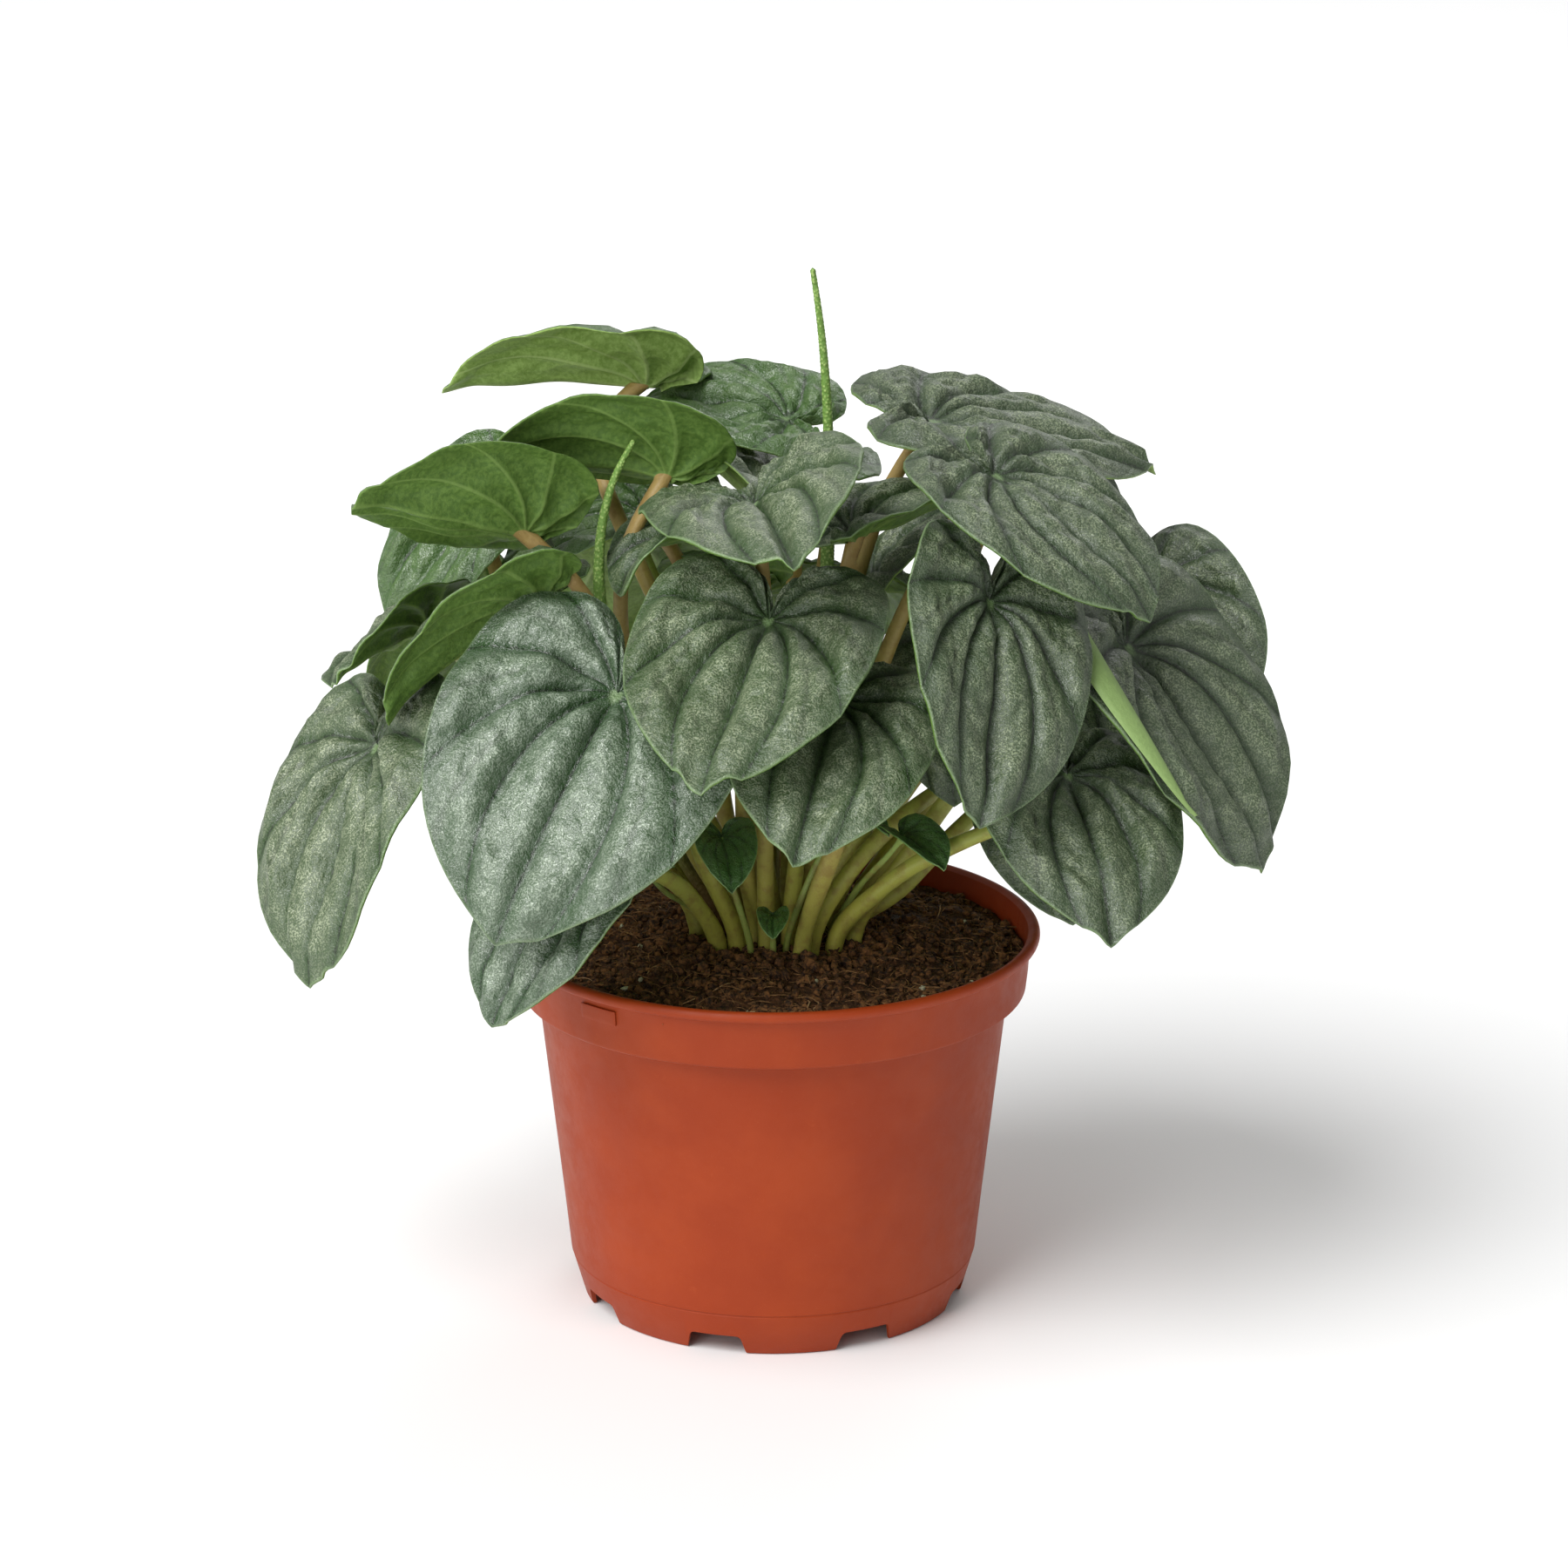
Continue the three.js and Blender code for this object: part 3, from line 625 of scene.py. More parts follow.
def rings_of(node):
    """A leaf's or spike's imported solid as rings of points.

    The first point is the joint of blade and stalk, or a spike's tip; then come the rings in
    order, and last the point at the foot."""
    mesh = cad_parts[node].data
    loose = points_of(mesh)
    keys, same = np.unique(np.round(loose * 1e6).astype(int), axis=0, return_inverse=True)
    same = same.ravel()
    spots = np.zeros((len(keys), 3))
    spots[same] = loose
    meets = [[] for _ in spots]
    for polygon in mesh.polygons:
        face = [int(same[v]) for v in polygon.vertices]
        for v in face:
            meets[v].append(face)
    pole = max(range(len(spots)), key=lambda i: (len(meets[i]), spots[i][2]))
    following = {}
    for face in meets[pole]:
        i = face.index(pole)
        following[face[(i + 1) % 3]] = face[(i + 2) % 3]
    ring = [next(iter(following))]
    while len(ring) < len(following):
        ring.append(following[ring[-1]])
    rings, seen = [], {pole}
    while ring:
        rings.append(ring)
        seen.update(ring)
        partner = {}
        for v in ring:
            for face in meets[v]:
                i = face.index(v)
                first, second = face[(i + 1) % 3], face[(i + 2) % 3]
                if first not in seen and second not in seen and first != second:
                    partner[v] = first
        ring = [partner[v] for v in ring if v in partner]
    foot = next(w for v in rings[-1] for face in meets[v] for w in face if w not in seen)
    return spots[pole], [spots[r] for r in rings], spots[foot]


def distances_along(points):
    return np.concatenate([[0], np.cumsum(np.linalg.norm(np.diff(points, axis=0), axis=1))])


def middles(rings, foot, flare):
    """The rings' middles and radii, on into the crown, and how far along each one lies."""
    centres = np.array([r.mean(axis=0) for r in rings])
    radii = np.array([np.linalg.norm(r - c, axis=1).mean() for r, c in zip(rings, centres)])
    centres = np.concatenate([centres, [foot - (0, 0, 0.003)]])
    return distances_along(centres), centres, np.append(radii, radii[-1] * flare)


def rings_round(line, radii, side_way):
    """Untwisted rings of points round a line, one radius for each point, and its headings."""
    heading = np.gradient(line, axis=0)
    heading /= np.linalg.norm(heading, axis=1, keepdims=True)
    sides = radii.shape[1]
    turns = 2 * np.pi * np.arange(sides) / sides
    points = np.empty((len(line), sides, 3))
    for i, way in enumerate(heading):
        side_way = side_way - way * side_way.dot(way)
        side_way /= np.linalg.norm(side_way)
        up_way = np.cross(side_way, way)
        ring = np.cos(turns)[:, None] * side_way + np.sin(turns)[:, None] * up_way
        points[i] = line[i] + ring * radii[i][:, None]
    return points, heading


def quad(corner, r, c, step=1):
    return [corner(r, c), corner(r + step, c), corner(r + step, c + 1), corner(r, c + 1)]


def skinned(name, vertices, sides):
    """A smooth closed skin. Each side is a material slot and its corners, and each corner is a
    point's number and its place on the flat map."""
    piece = new_piece(name, vertices, [[point for point, spot in side] for slot, side in sides])
    mesh = piece.data
    mesh.polygons.foreach_set('material_index', [slot for slot, side in sides])
    mesh.polygons.foreach_set('use_smooth', [True] * len(sides))
    flat = [n for slot, side in sides for point, spot in side for n in spot]
    mesh.uv_layers.new(name="OFBake").data.foreach_set('uv', flat)
    return piece


def carry(piece, label, values):
    """Values at the points, for the materials to read."""
    piece.data.attributes.new(label, 'FLOAT', 'POINT').data.foreach_set('value', values)


def ease(value, low, high):
    share = np.clip((value - low) / (high - low), 0, 1)
    return share * share * (3 - 2 * share)


# where the main veins end along the margin from tip to notch, how far out they bow, and the
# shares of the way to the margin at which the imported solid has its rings
vein_ends = [0, 0.08, 0.33, 0.58, 0.78, 0.9, 1]
vein_bows = [0, 0.3, 0.22, 0.1, 0.05, 0.03, 0]
ring_reach = 0.0, 0.36, 0.7, 1.0

# the relief of a blade of the usual length: how wide the veins' sides are, how far apart the
# cross ribs lie, and the depth of forks, ribs and waves as shares of the puff
usual_length = 0.065
pillow_width = 0.0085
rib_pitch = 0.0088
fork_share, rib_share, wave_share = 0.34, 0.11, 0.12

# the flat map: the face and the back of the blade each have a disc, and the stalk a strip
face_middle, back_middle, disc_height, disc_size = 0.25, 0.75, 0.52, 0.44


def grown_leaf(name, node, columns, rows, puff, thick, stalk_sides, stalk_steps, seed):
    """The finished leaf on the node's own shape, and the joint of its blade and stalk. The
    columns are the mesh columns on which the main veins run."""
    dice = np.random.default_rng(seed)
    joint, rings, foot = rings_of(node)
    tip = int(np.argmax(np.linalg.norm(rings[2] - joint, axis=1)))
    blade = [np.roll(r, -tip, axis=0) for r in rings[:3]]
    stalk = rings[6:]
    length = np.linalg.norm(blade[2][0] - joint)
    stations = len(blade[0]) // 2

    # the two halves share the midrib and the notch line
    half = columns[-1]
    ends = np.interp(np.arange(half + 1), columns, vein_ends)
    bows = np.interp(ends, vein_ends, vein_bows)
    share = np.linspace(0, 1, rows + 1)[1:]
    reach = 1 - (1 - share) ** 1.25
    reach[-1] = 1
    at = ends[None, :] + bows[None, :] * (1 - reach[:, None]) ** 0.9
    basis = []
    for k in range(4):
        term = np.ones_like(reach)
        for m in range(4):
            if m != k:
                term = term * (reach - ring_reach[m]) / (ring_reach[k] - ring_reach[m])
        basis.append(term[:, None, None])
    surface = np.empty((rows, 2 * half, 3))
    left = list(range(stations + 1))
    right = [0] + list(range(2 * stations - 1, stations - 1, -1))
    for order in (left, right):
        knots = distances_along(blade[2][order])
        knots = knots / knots[-1]
        patch = basis[0] * joint
        for k in range(3):
            patch = patch + basis[k + 1] * smooth_through(knots, blade[k][order])(at)
        if order is left:
            surface[:, :half + 1] = patch
        else:
            surface[:, half + 1:] = patch[:, 1:half][:, ::-1]

    # fine relief: how far each point lies from its veins, then pillows, forks, ribs and waves
    total = 2 * half
    column = np.arange(total)
    across = np.where(column <= half, column, total - column)
    panel = np.clip(np.searchsorted(columns, across, 'right') - 1, 0, len(columns) - 2)
    columns = np.asarray(columns)
    inside = (across - columns[panel]) / (columns[panel + 1] - columns[panel])
    wrap = np.concatenate([surface, surface[:, :1]], axis=1)
    walk = np.linalg.norm(np.diff(wrap, axis=1), axis=2)
    along_row = np.concatenate([np.zeros((rows, 1)), np.cumsum(walk, axis=1)], axis=1)
    vein_columns = sorted(set(columns.tolist()) | set((total - columns).tolist()))
    vein_at = along_row[:, vein_columns]
    away = np.abs(along_row[:, :total, None] - vein_at[:, None, :]).min(axis=2)
    width = np.empty((rows, total))
    for c in range(total):
        before = max(v for v in vein_columns if v <= c)
        after = min(v for v in vein_columns if v > c)
        width[:, c] = along_row[:, after] - along_row[:, before]
    depth = reach[:, None]
    scale = length / usual_length
    pillow = np.sin(np.pi * inside)[None, :] ** 0.75
    pillow = pillow * np.minimum(1, width / (pillow_width * scale))
    strength = ease(depth, 0.0, 0.22) * (1 - 0.6 * ease(depth, 0.8, 1))
    height = puff * scale * pillow * strength
    fork = np.where((panel >= 1) & (panel <= 4), 1.0, 0.45)[None, :]
    fork = fork * np.exp(-((inside - 0.5) / 0.1) ** 2)[None, :]
    minor = np.clip(fork * ease(depth, 0.42, 0.62), 0, 1)
    height = height - puff * fork_share * scale * minor * strength
    phases = dice.uniform(0, 6.28, len(columns))[panel][None, :]
    ribs_out = depth * length / rib_pitch + np.abs(inside - 0.5)[None, :] * 1.3
    rib = np.sin(2 * np.pi * ribs_out + phases)
    height = height + puff * rib_share * rib * pillow * strength
    mirror = np.where(column <= half, 1, -1)[None, :]
    flat_x = depth * np.sin(across / half * np.pi)[None, :] * mirror
    flat_y = depth * np.cos(across / half * np.pi)[None, :]
    for wave in range(7):
        turn, phase = dice.uniform(0, 2 * math.pi, 2)
        fineness = dice.uniform(5, 17)
        height = height + puff * wave_share * np.sin(
            (flat_x * math.cos(turn) + flat_y * math.sin(turn)) * fineness + phase) * strength

    # the margin ripples and curls down
    swing = dice.uniform(0, 6.28, 3)
    angle = 2 * np.pi * column / total
    ripple = (np.sin(5 * angle + swing[0]) + 0.6 * np.sin(8 * angle + swing[1])
              + 0.4 * np.sin(13 * angle + swing[2]))[None, :]
    shape = thick * 0.85 * scale * ripple * depth ** 4
    shape = shape - thick * 1.9 * scale * ease(depth, 0.82, 1.04)

    # the two faces and the rim between them
    closed = np.concatenate([surface[:, -1:], surface, surface[:, :1]], axis=1)
    round_way = closed[:, 2:] - closed[:, :-2]
    out_way = np.concatenate([np.broadcast_to(joint, (1, total, 3)), surface])
    facing = np.cross(np.gradient(out_way, axis=0)[1:], round_way)
    facing = facing / np.maximum(np.linalg.norm(facing, axis=2, keepdims=True), 1e-12)
    top = surface + facing * (height + shape)[..., None]
    back = thick * (1 - 0.5 * ease(depth, 0.35, 1.0))
    flesh = np.maximum(back + 0.38 * height, 0.45 * back)
    under = top - facing * flesh[..., None]
    outward = top[-1] - top[-3]
    outward /= np.maximum(np.linalg.norm(outward, axis=1, keepdims=True), 1e-9)
    rim = (top[-1] + under[-1]) / 2 + outward * thick * 0.22

    # stalk: a smooth line from under the blade into the crown, wider and ribbed at its foot
    walked, centres, radii = middles(stalk, foot, 1.05)
    run = np.linspace(0, 1, stalk_steps) * walked[-1]
    line = smooth_through(walked, centres)(run)
    girth = smooth_through(walked, radii[:, None])(run)[:, 0]
    share = run / walked[-1]
    girth = girth * (1 + 0.22 * np.exp(-(share / 0.035) ** 2)
                     + 0.05 * np.sin(share * 19 + swing[0]))
    turns = 2 * np.pi * np.arange(stalk_sides) / stalk_sides
    groove = 1 - 0.05 * np.cos(turns * 3 + swing[1])
    stalk_points, heading = rings_round(line, girth[:, None] * groove, surface[-1, 0] - joint)

    # one closed skin, from the joint over the face, round the rim, under the blade to the
    # stalk, and down the stalk
    first_under = max(1, int(np.searchsorted(reach, 0.045)))
    rim_at = 1 + rows * total
    under_at = rim_at + total
    stalk_at = under_at + (rows - first_under) * total
    last = stalk_at + stalk_steps * stalk_sides
    vertices = np.concatenate([joint[None, :], top.reshape(-1, 3), rim,
                               under[first_under:].reshape(-1, 3), stalk_points.reshape(-1, 3),
                               (line[-1] + heading[-1] * 0.0004)[None, :]])
    spread_radius = np.linalg.norm(surface[-1] - joint, axis=1) / length
    angle_of = np.concatenate([[0], np.cumsum(walk[-1])])[:total] / walk[-1].sum() * 2 * np.pi

    def flat_spot(r, c, middle):
        c = c % total
        far = (1.03 if r >= rows else reach[r]) * spread_radius[c] * disc_size
        return (middle + far * math.sin(angle_of[c]) * 0.98,
                disc_height + far * math.cos(angle_of[c]))

    def face_corner(r, c):
        return 1 + r * total + c % total, flat_spot(r, c, face_middle)

    def back_corner(r, c):
        row_at = rim_at if r == rows else under_at + (r - first_under) * total
        return row_at + c % total, flat_spot(r, c, back_middle)

    def stalk_corner(r, c):
        return (stalk_at + r * stalk_sides + c % stalk_sides,
                (0.02 + 0.96 * r / stalk_steps, 0.01 + 0.09 * c / stalk_sides))

    def neck_corner(c):
        return back_corner(first_under, c)[0], (0.01, 0.01 + 0.09 * c / total)

    sides = []
    for c in range(total):
        sides.append((0, [(0, (face_middle, disc_height)), face_corner(0, c),
                          face_corner(0, c + 1)]))
        sides += [(0, quad(face_corner, r, c)) for r in range(rows)]
        sides += [(1, quad(back_corner, r, c, -1)) for r in range(rows, first_under, -1)]
    for c in range(total):
        p, q = c * stalk_sides // total, (c + 1) * stalk_sides // total
        if p != q:
            sides.append((2, [neck_corner(c), stalk_corner(0, p), stalk_corner(0, q)]))
        sides.append((2, [neck_corner(c), stalk_corner(0, q), neck_corner(c + 1)]))
    for r in range(stalk_steps - 1):
        sides += [(2, quad(stalk_corner, r, c)) for c in range(stalk_sides)]
    for c in range(stalk_sides):
        end = last, stalk_corner(stalk_steps, c + 0.5)[1]
        sides.append((2, [stalk_corner(stalk_steps - 1, c), end,
                          stalk_corner(stalk_steps - 1, c + 1)]))
    piece = skinned(name, vertices, sides)

    # for the materials: vein distance in millimetres, how far out, minor veins, how domed, and
    # how far down the stalk
    domed = pillow * strength
    no_stalk = np.zeros(stalk_steps * stalk_sides + 1)
    for label, on_blade, on_rim, on_stalk in (
            ("vein", away * 1000, away[-1] * 1000, no_stalk + 9),
            ("reach", depth, 1.02, no_stalk),
            ("fork", minor, minor[-1], no_stalk),
            ("dome", domed, domed[-1], no_stalk),
            ("run", 0.0, 0.0, np.append(np.repeat(share, stalk_sides), 1.0))):
        whole = np.broadcast_to(on_blade, (rows, total))
        carry(piece, label, np.concatenate([[0], whole.ravel(), np.broadcast_to(on_rim, total),
                                            whole[first_under:].ravel(), on_stalk]))
    return piece, joint


# frost: the silver bloom on the blade, as grains over the green. Shared by large and young
# leaves, each with its own amount.
frost = bpy.data.node_groups.new("frost", 'ShaderNodeTree')
for label, way in (("Scale", 'INPUT'), ("Amount", 'INPUT'), ("Cover", 'OUTPUT'),
                   ("Sparkle", 'OUTPUT')):
    frost.interface.new_socket(label, in_out=way, socket_type='NodeSocketFloat')
bloom = Nodes(frost)
given = bloom.add('NodeGroupInput').outputs
bloom_cover = bloom.sums('MULTIPLY', bloom.spread(bloom.noise(190, 4), 0.36, 0.64, 0.45),
                         given['Amount'])
bloom.feed(bloom.add('NodeGroupOutput').inputs, {
    'Cover': bloom_cover, 'Sparkle': bloom.spread(bloom.noise(given['Scale'], 2), 0.44, 0.6)})
frost_grains = 2000


def leaf_face(name, deep, mid, silver, edge, gloss, amount, evenness):
    face = Finish(name)
    vein = face.carried("vein")
    wander = face.noise(500, 2)
    near_vein = face.sums('ADD', vein, face.spread(wander, 0.3, 0.7, -0.35, 0.35))
    group = face.add('ShaderNodeGroup', node_tree=frost)
    face.feed(group.inputs, {'Scale': frost_grains, 'Amount': amount})
    cover, sparkle = group.outputs['Cover'], group.outputs['Sparkle']
    # less silver near the veins: partly the veins' own dark green, partly painted shade in their
    # sunken grooves
    cover = face.sums('MULTIPLY', cover, face.spread(near_vein, 0.1, 2.6, 0.15, 1.0))
    # less silver low on the pillows, where the blade dips to its veins: painted shade in the
    # valleys
    cover = face.sums('MULTIPLY', cover, face.spread(face.carried("dome"), 0.05, 0.95, 0.3, 1.0))
    # deep green towards the veins: partly their own colour, partly painted shade in the grooves
    base = face.mix(face.spread(near_vein, 0.0, 0.7, 0.25, 1.0), deep, mid)
    grainy = face.spread(sparkle, 0.0, 1.0, evenness, 1.0)
    base = face.mix(face.sums('MULTIPLY', cover, grainy), base, silver)
    base = face.mix(face.spread(face.carried("fork"), 0.35, 1.0, 0, 0.32), base, deep)
    reach = face.carried("reach")
    base = face.mix(face.spread(reach, 0.985, 1.01, 0, 0.6), base, edge)
    base = face.mix(face.spread(reach, 0.02, 0.06, 0.8, 0), base, edge)
    rough = face.spread(face.noise(130, 4, 0.6), 0.3, 0.7, gloss, gloss + 0.16)
    crinkle = face.bump(face.noise(300, 4, 0.55), 0.0011, face.bump(sparkle, 0.0001))
    return face.coat(base, rough, crinkle, 1.0)


def leaf_underside(name, dark, light, vein_tone):
    back = Finish(name)
    vein = back.carried("vein")
    cells = back.noise(700, 4, 0.6)
    tone = back.mix(back.spread(cells, 0.35, 0.68), dark, light)
    tone = back.mix(back.spread(vein, 0.25, 0.9, 0.7, 0), tone, vein_tone)
    return back.coat(tone, back.spread(cells, 0.3, 0.7, 0.5, 0.64), back.bump(cells, 0.0003),
                     0.35)


def stalk_skin(name, foot_tone, middle_tone, top_tone):
    skin = Finish(name)
    run = skin.carried("run")
    streak = skin.noise(230, 5, 0.65)
    fleck = skin.noise(1500, 2)
    tone = skin.mix(skin.spread(run, 0.1, 0.5), top_tone, middle_tone)
    tone = skin.mix(skin.spread(run, 0.5, 0.95), tone, foot_tone)
    tone = skin.mix(skin.spread(streak, 0.44, 0.66, 0, 0.5), tone, "8A6C3A")
    tone = skin.mix(skin.spread(fleck, 0.62, 0.78, 0, 0.35), tone, "B9B27A")
    return skin.coat(tone, skin.spread(streak, 0.3, 0.7, 0.4, 0.56), skin.bump(streak, 0.0004),
                     0.45)


face_plain = leaf_face("leaf_face", "122006", "2C481A", "BAC4A2", "86A46C", 0.34, 0.66, 0.2)
# a brighter silver copy of the face as painted light; below it a greener, less silvery copy and a
# darker copy as painted shade
face_silver_painted_light = leaf_face("leaf_face_silver_painted_light", "12240A", "24441C", "C8D6C0", "86A070", 0.2, 0.6, 0.3)
face_green_painted_shade = leaf_face("leaf_face_green_painted_shade", "14240A", "365A1C", "8AA468", "6F8F55", 0.28, 0.35, 0.4)
face_painted_shade = leaf_face("leaf_face_painted_shade", "101C06", "263E18", "A2AE8A", "74905C", 0.38, 0.6, 0.2)
under_plain = leaf_underside("leaf_underside", "50702C", "68883C", "7E9C50")
# a paler underside for the high leaves at the back: painted glow of light shining through the
# blade
under_pale_painted_glow = leaf_underside("leaf_underside_pale_painted_glow", "7E9C4A", "98B662", "AEC67C")
stalk_olive = stalk_skin("leaf_stalk_olive", "B0AC4A", "A8AC50", "9CA858")
stalk_red = stalk_skin("leaf_stalk_red", "A8A44A", "AC9C52", "AA9056")

leaf_columns = [0, 8, 16, 24, 30, 36, 40]
for number, node in enumerate(nodes_named("leaf_")):
    leaf, (x, y, z) = grown_leaf("blade_" + node, node, leaf_columns, 40, puff=0.0033,
                                 thick=0.001, stalk_sides=16, stalk_steps=26,
                                 seed=100 + number)
    # painted light and shade: a brighter, more silvery copy of the face as painted light for the
    # leaves at the front left, and as painted shade a greener, less silvery copy for those at the
    # back and a darker copy for those at the right
    face = face_plain
    if (y > 0.03 and x < 0.03) or y > 0.06:
        face = face_green_painted_shade
    elif x < -0.02 and y < -0.03:
        face = face_silver_painted_light
    elif x > 0.04:
        face = face_painted_shade
    # the high leaves at the back get the paler underside, painted light shining through the blade
    coated(leaf, face, under_pale_painted_glow if z > 0.2 and y > 0 else under_plain,
           stalk_red if z > 0.208 else stalk_olive)
    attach(leaf, "root")
    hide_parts(node)


# The big leaf on the right has rolled part of its left margin over its own face, so the pale
# underside shows there: one thin closed strip, widest by the lobe and running out lower down.
roll_width, roll_lift, roll_thick = 0.0095, 0.0042, 0.0008
joint, rings, foot = rings_of("leaf_06")
margin = rings[2]
tip_at = int(np.argmax(np.linalg.norm(margin - joint, axis=1)))
margin = np.roll(margin, -tip_at, axis=0)
notch_at = len(margin) // 2
halves = margin[:notch_at + 1][::-1], np.concatenate([margin[notch_at:], margin[:1]])
left_side = min(halves, key=lambda side: side[:, 0].mean())
midrib = left_side[-1] - joint
midrib_length = np.linalg.norm(midrib)
midrib = midrib / midrib_length
walked = distances_along(left_side)
along_margin = smooth_through(walked / walked[-1], left_side)(np.linspace(0.2, 0.74, 40))
strip_points = []
for share, edge_point in zip(np.arange(40) / 39, along_margin):
    wide = roll_width * math.sin(math.pi * min(1, share + 0.06)) ** 0.55 * (1 - 0.6 * share)
    wide = max(wide, 0.0006)
    rib_point = joint + midrib * min(max((edge_point - joint).dot(midrib), 0), midrib_length)
    inward = rib_point - edge_point
    inward /= np.linalg.norm(inward)
    up_face = np.cross(inward, midrib)
    if up_face[2] < 0:
        up_face = -up_face
    up_face /= np.linalg.norm(up_face)
    upper, lower = [], []
    for part in np.linspace(0, 1, 8):
        lift = roll_lift * math.sin(math.pi * 0.62 * part) * wide / roll_width + 0.0006
        spot = edge_point + inward * (wide * part) + up_face * lift
        upper.append(spot + up_face * roll_thick / 2)
        lower.append(spot - up_face * roll_thick / 2)
    strip_points.append(upper + lower[::-1])
loop = len(strip_points[0])
end_at = (len(strip_points) - 1) * loop
strip_faces = [tuple(range(loop)), tuple(end_at + k for k in reversed(range(loop)))]
for start in range(0, end_at, loop):
    for k in range(loop):
        one, two = start + k, start + (k + 1) % loop
        strip_faces.append((one, one + loop, two + loop, two))
rolled_margin = new_piece("rolled_margin", np.concatenate(strip_points), strip_faces)
face_outwards(rolled_margin)
bpy.ops.object.shade_smooth_by_angle(angle=math.radians(60))
coated(rolled_margin, leaf_underside("rolled_underside", "74904C", "86A25C", "8AA466"))
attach(rolled_margin, "root")


# ------------------------ young leaves
# Young leaves: small, glossy and greener, half folded along the midrib, on thin stalks low
# among the others. They grow into the large ones, so they have the same veins.

young_face = leaf_face("young_leaf_face", "1F3A14", "3F6A2A", "7E9E68", "88A85C", 0.3, 0.35, 0.4)
young_under = leaf_underside("young_leaf_underside", "4F7A34", "6A9448", "8DB060")
young_stalk = stalk_skin("young_leaf_stalk", "98A450", "98AA56", "98B060")
young_columns = [0, 4, 8, 12, 15, 18, 20]
for number, node in enumerate(nodes_named("young_leaf_")):
    leaf, joint = grown_leaf("blade_" + node, node, young_columns, 20, puff=0.0009,
                             thick=0.0007, stalk_sides=10, stalk_steps=18, seed=300 + number)
    coated(leaf, young_face, young_under, young_stalk)
    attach(leaf, "root")
    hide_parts(node)


# ------------------------ flower spikes
# Flower spikes: slim fleshy rods set all over with tiny green flowers, like fine beads, on a
# smooth stalk that is redder towards its foot. They taper to a blunt point.

flower_pitch = 0.0011
flower_rise = 0.00022


def flower_spike(name, node, sides, steps):
    top, rings, foot = rings_of(node)
    walked, centres, radii = middles(rings, foot, 1)
    length = walked[-1]
    run = np.linspace(0, 1, steps) * length
    line = smooth_through(walked, centres)(run)
    flowering = 1 - ease(run, 0.42 * length, 0.5 * length)
    girth = np.interp(run, walked, radii) * (1 + 0.18 * flowering)
    turns = 4 * (2 * np.pi * np.arange(sides) / sides)
    pitch = (run / flower_pitch * np.pi)[:, None]
    beads = np.abs(np.sin(turns + pitch)) * np.abs(np.sin(turns - pitch))
    radii = girth[:, None] + (flower_rise * flowering)[:, None] * (beads - 0.4)
    points, heading = rings_round(line, radii, np.array([1.0, 0, 0]))
    tip = line[0] - heading[0] * girth[0] * 1.1
    vertices = np.concatenate([tip[None, :], points.reshape(-1, 3),
                               (line[-1] + heading[-1] * 0.0003)[None, :]])

    def corner(r, c):
        return 1 + r * sides + c % sides, (0.02 + 0.96 * r / steps, 0.02 + 0.2 * c / sides)

    skin = []
    for c in range(sides):
        start = 0, (0.01, 0.02 + 0.2 * (c + 0.5) / sides)
        end = len(vertices) - 1, corner(steps, c + 0.5)[1]
        skin.append((0, [start, corner(0, c), corner(0, c + 1)]))
        skin += [(0, quad(corner, r, c)) for r in range(steps - 1)]
        skin.append((0, [corner(steps - 1, c), end, corner(steps - 1, c + 1)]))
    piece = skinned(name, vertices, skin)
    carry(piece, "run", np.concatenate([[0], np.repeat(run / length, sides), [1]]))
    return piece


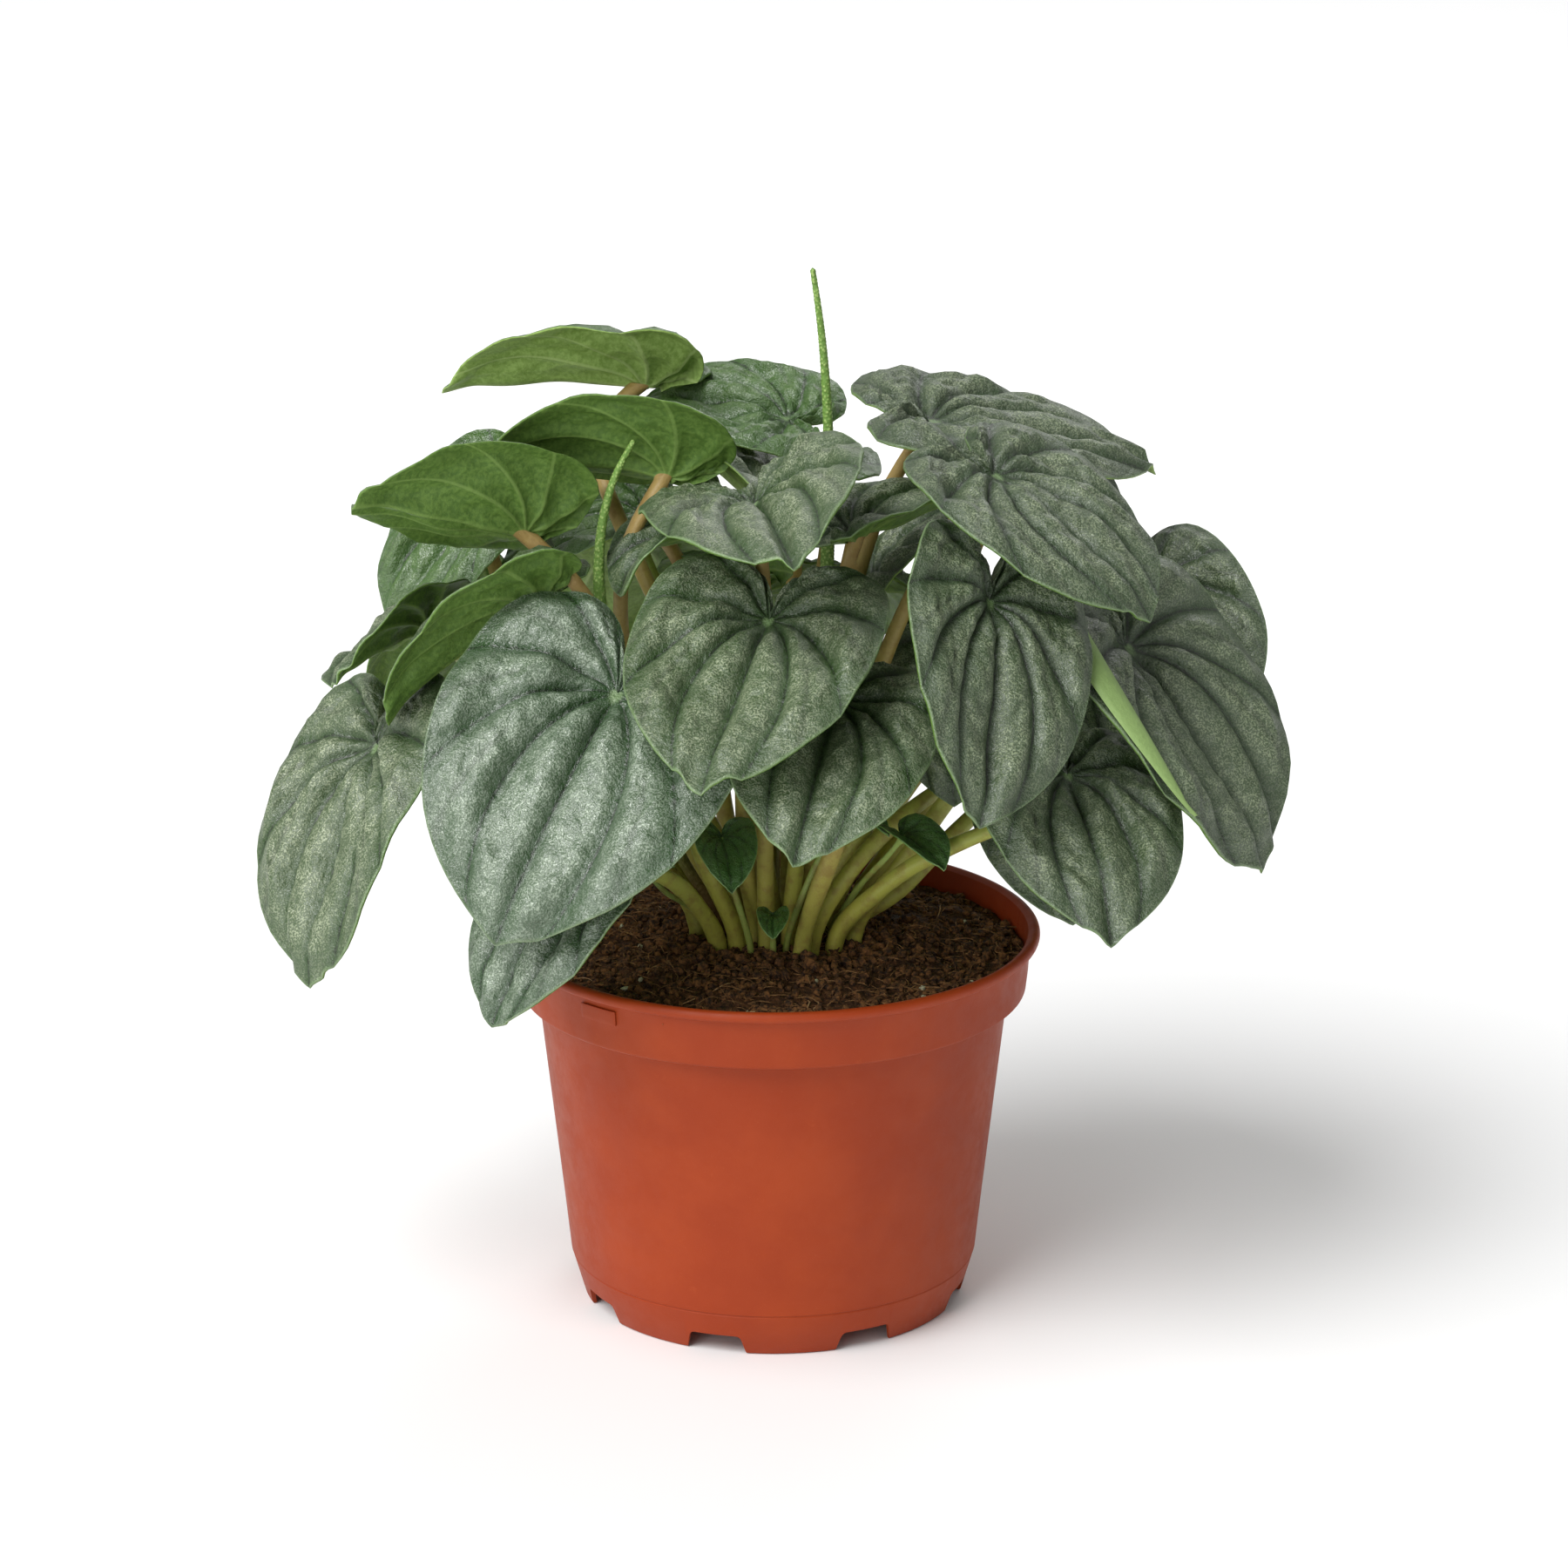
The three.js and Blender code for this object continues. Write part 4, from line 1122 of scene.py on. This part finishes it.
spike_skin = Finish("flower_spike")
spike_run = spike_skin.carried("run")
florets = spike_skin.cells(1100)
tone = spike_skin.mix(spike_skin.spread(florets, 0.1, 0.6), "A8C470", "6E9440")
tone = spike_skin.mix(spike_skin.spread(spike_run, 0.42, 0.62), tone, "6F8A3C")
tone = spike_skin.mix(spike_skin.spread(spike_run, 0.7, 0.95), tone, "84603A")
beaded = spike_skin.coat(tone, spike_skin.spread(florets, 0.1, 0.6, 0.42, 0.6),
                         spike_skin.bump(florets, -0.0003))
for node in nodes_named("flower_spike_"):
    spike = flower_spike("spike_" + node, node, 32, 420)
    coated(spike, beaded)
    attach(spike, "root")
    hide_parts(node)


# ------------------------ floor, light and camera
# A plain pale floor, a very soft sun from the upper left, weaker soft lights low at the front
# left and behind at the right, and the camera in front, a little above the plant.

bpy.ops.mesh.primitive_plane_add(size=8, location=(0, 0, -0.0002))
floor = bpy.context.object
floor.name = "floor"
coated(floor, Finish("pale_floor").coat((0.92, 0.92, 0.92, 1), 0.9, specular=0.1))


def soft_light(name, place, aim, size, power, kind='AREA'):
    lamp = bpy.data.lights.new(name, kind)
    if kind == 'SUN':
        lamp.angle = size
    else:
        lamp.shape = 'DISK'
        lamp.size = size
    lamp.energy = power
    light = bpy.data.objects.new(name, lamp)
    bpy.context.collection.objects.link(light)
    light.location = place
    light.rotation_euler = (Vector(aim) - Vector(place)).to_track_quat('-Z', 'Y').to_euler()


middle = (0, 0, 0.15)
soft_light("main_light", (-0.9, -0.8, 1.6), middle, size=math.radians(44), power=2.9, kind='SUN')
soft_light("front_light", (-0.9, -1.6, 0.5), middle, size=1.0, power=9)
soft_light("back_light", (0.5, 1.4, 1.2), middle, size=1.0, power=7)

world = bpy.data.worlds.new("studio")
world.use_nodes = True
sky = world.node_tree.nodes["Background"].inputs
sky['Color'].default_value = (1, 1, 1, 1)
sky['Strength'].default_value = 0.36
bpy.context.scene.world = world
bpy.context.scene.view_settings.view_transform = 'Standard'

camera = bpy.data.cameras.new("camera")
camera.sensor_width = 36
camera.lens = 128.99
camera.clip_start = 0.05
camera.clip_end = 20
viewer = bpy.data.objects.new("camera", camera)
bpy.context.collection.objects.link(viewer)
viewer.location = (0.0031, -1.5, 0.6201)
looking_down = 17.42
viewer.rotation_euler = (math.radians(90 - looking_down), 0, 0)
bpy.context.scene.camera = viewer
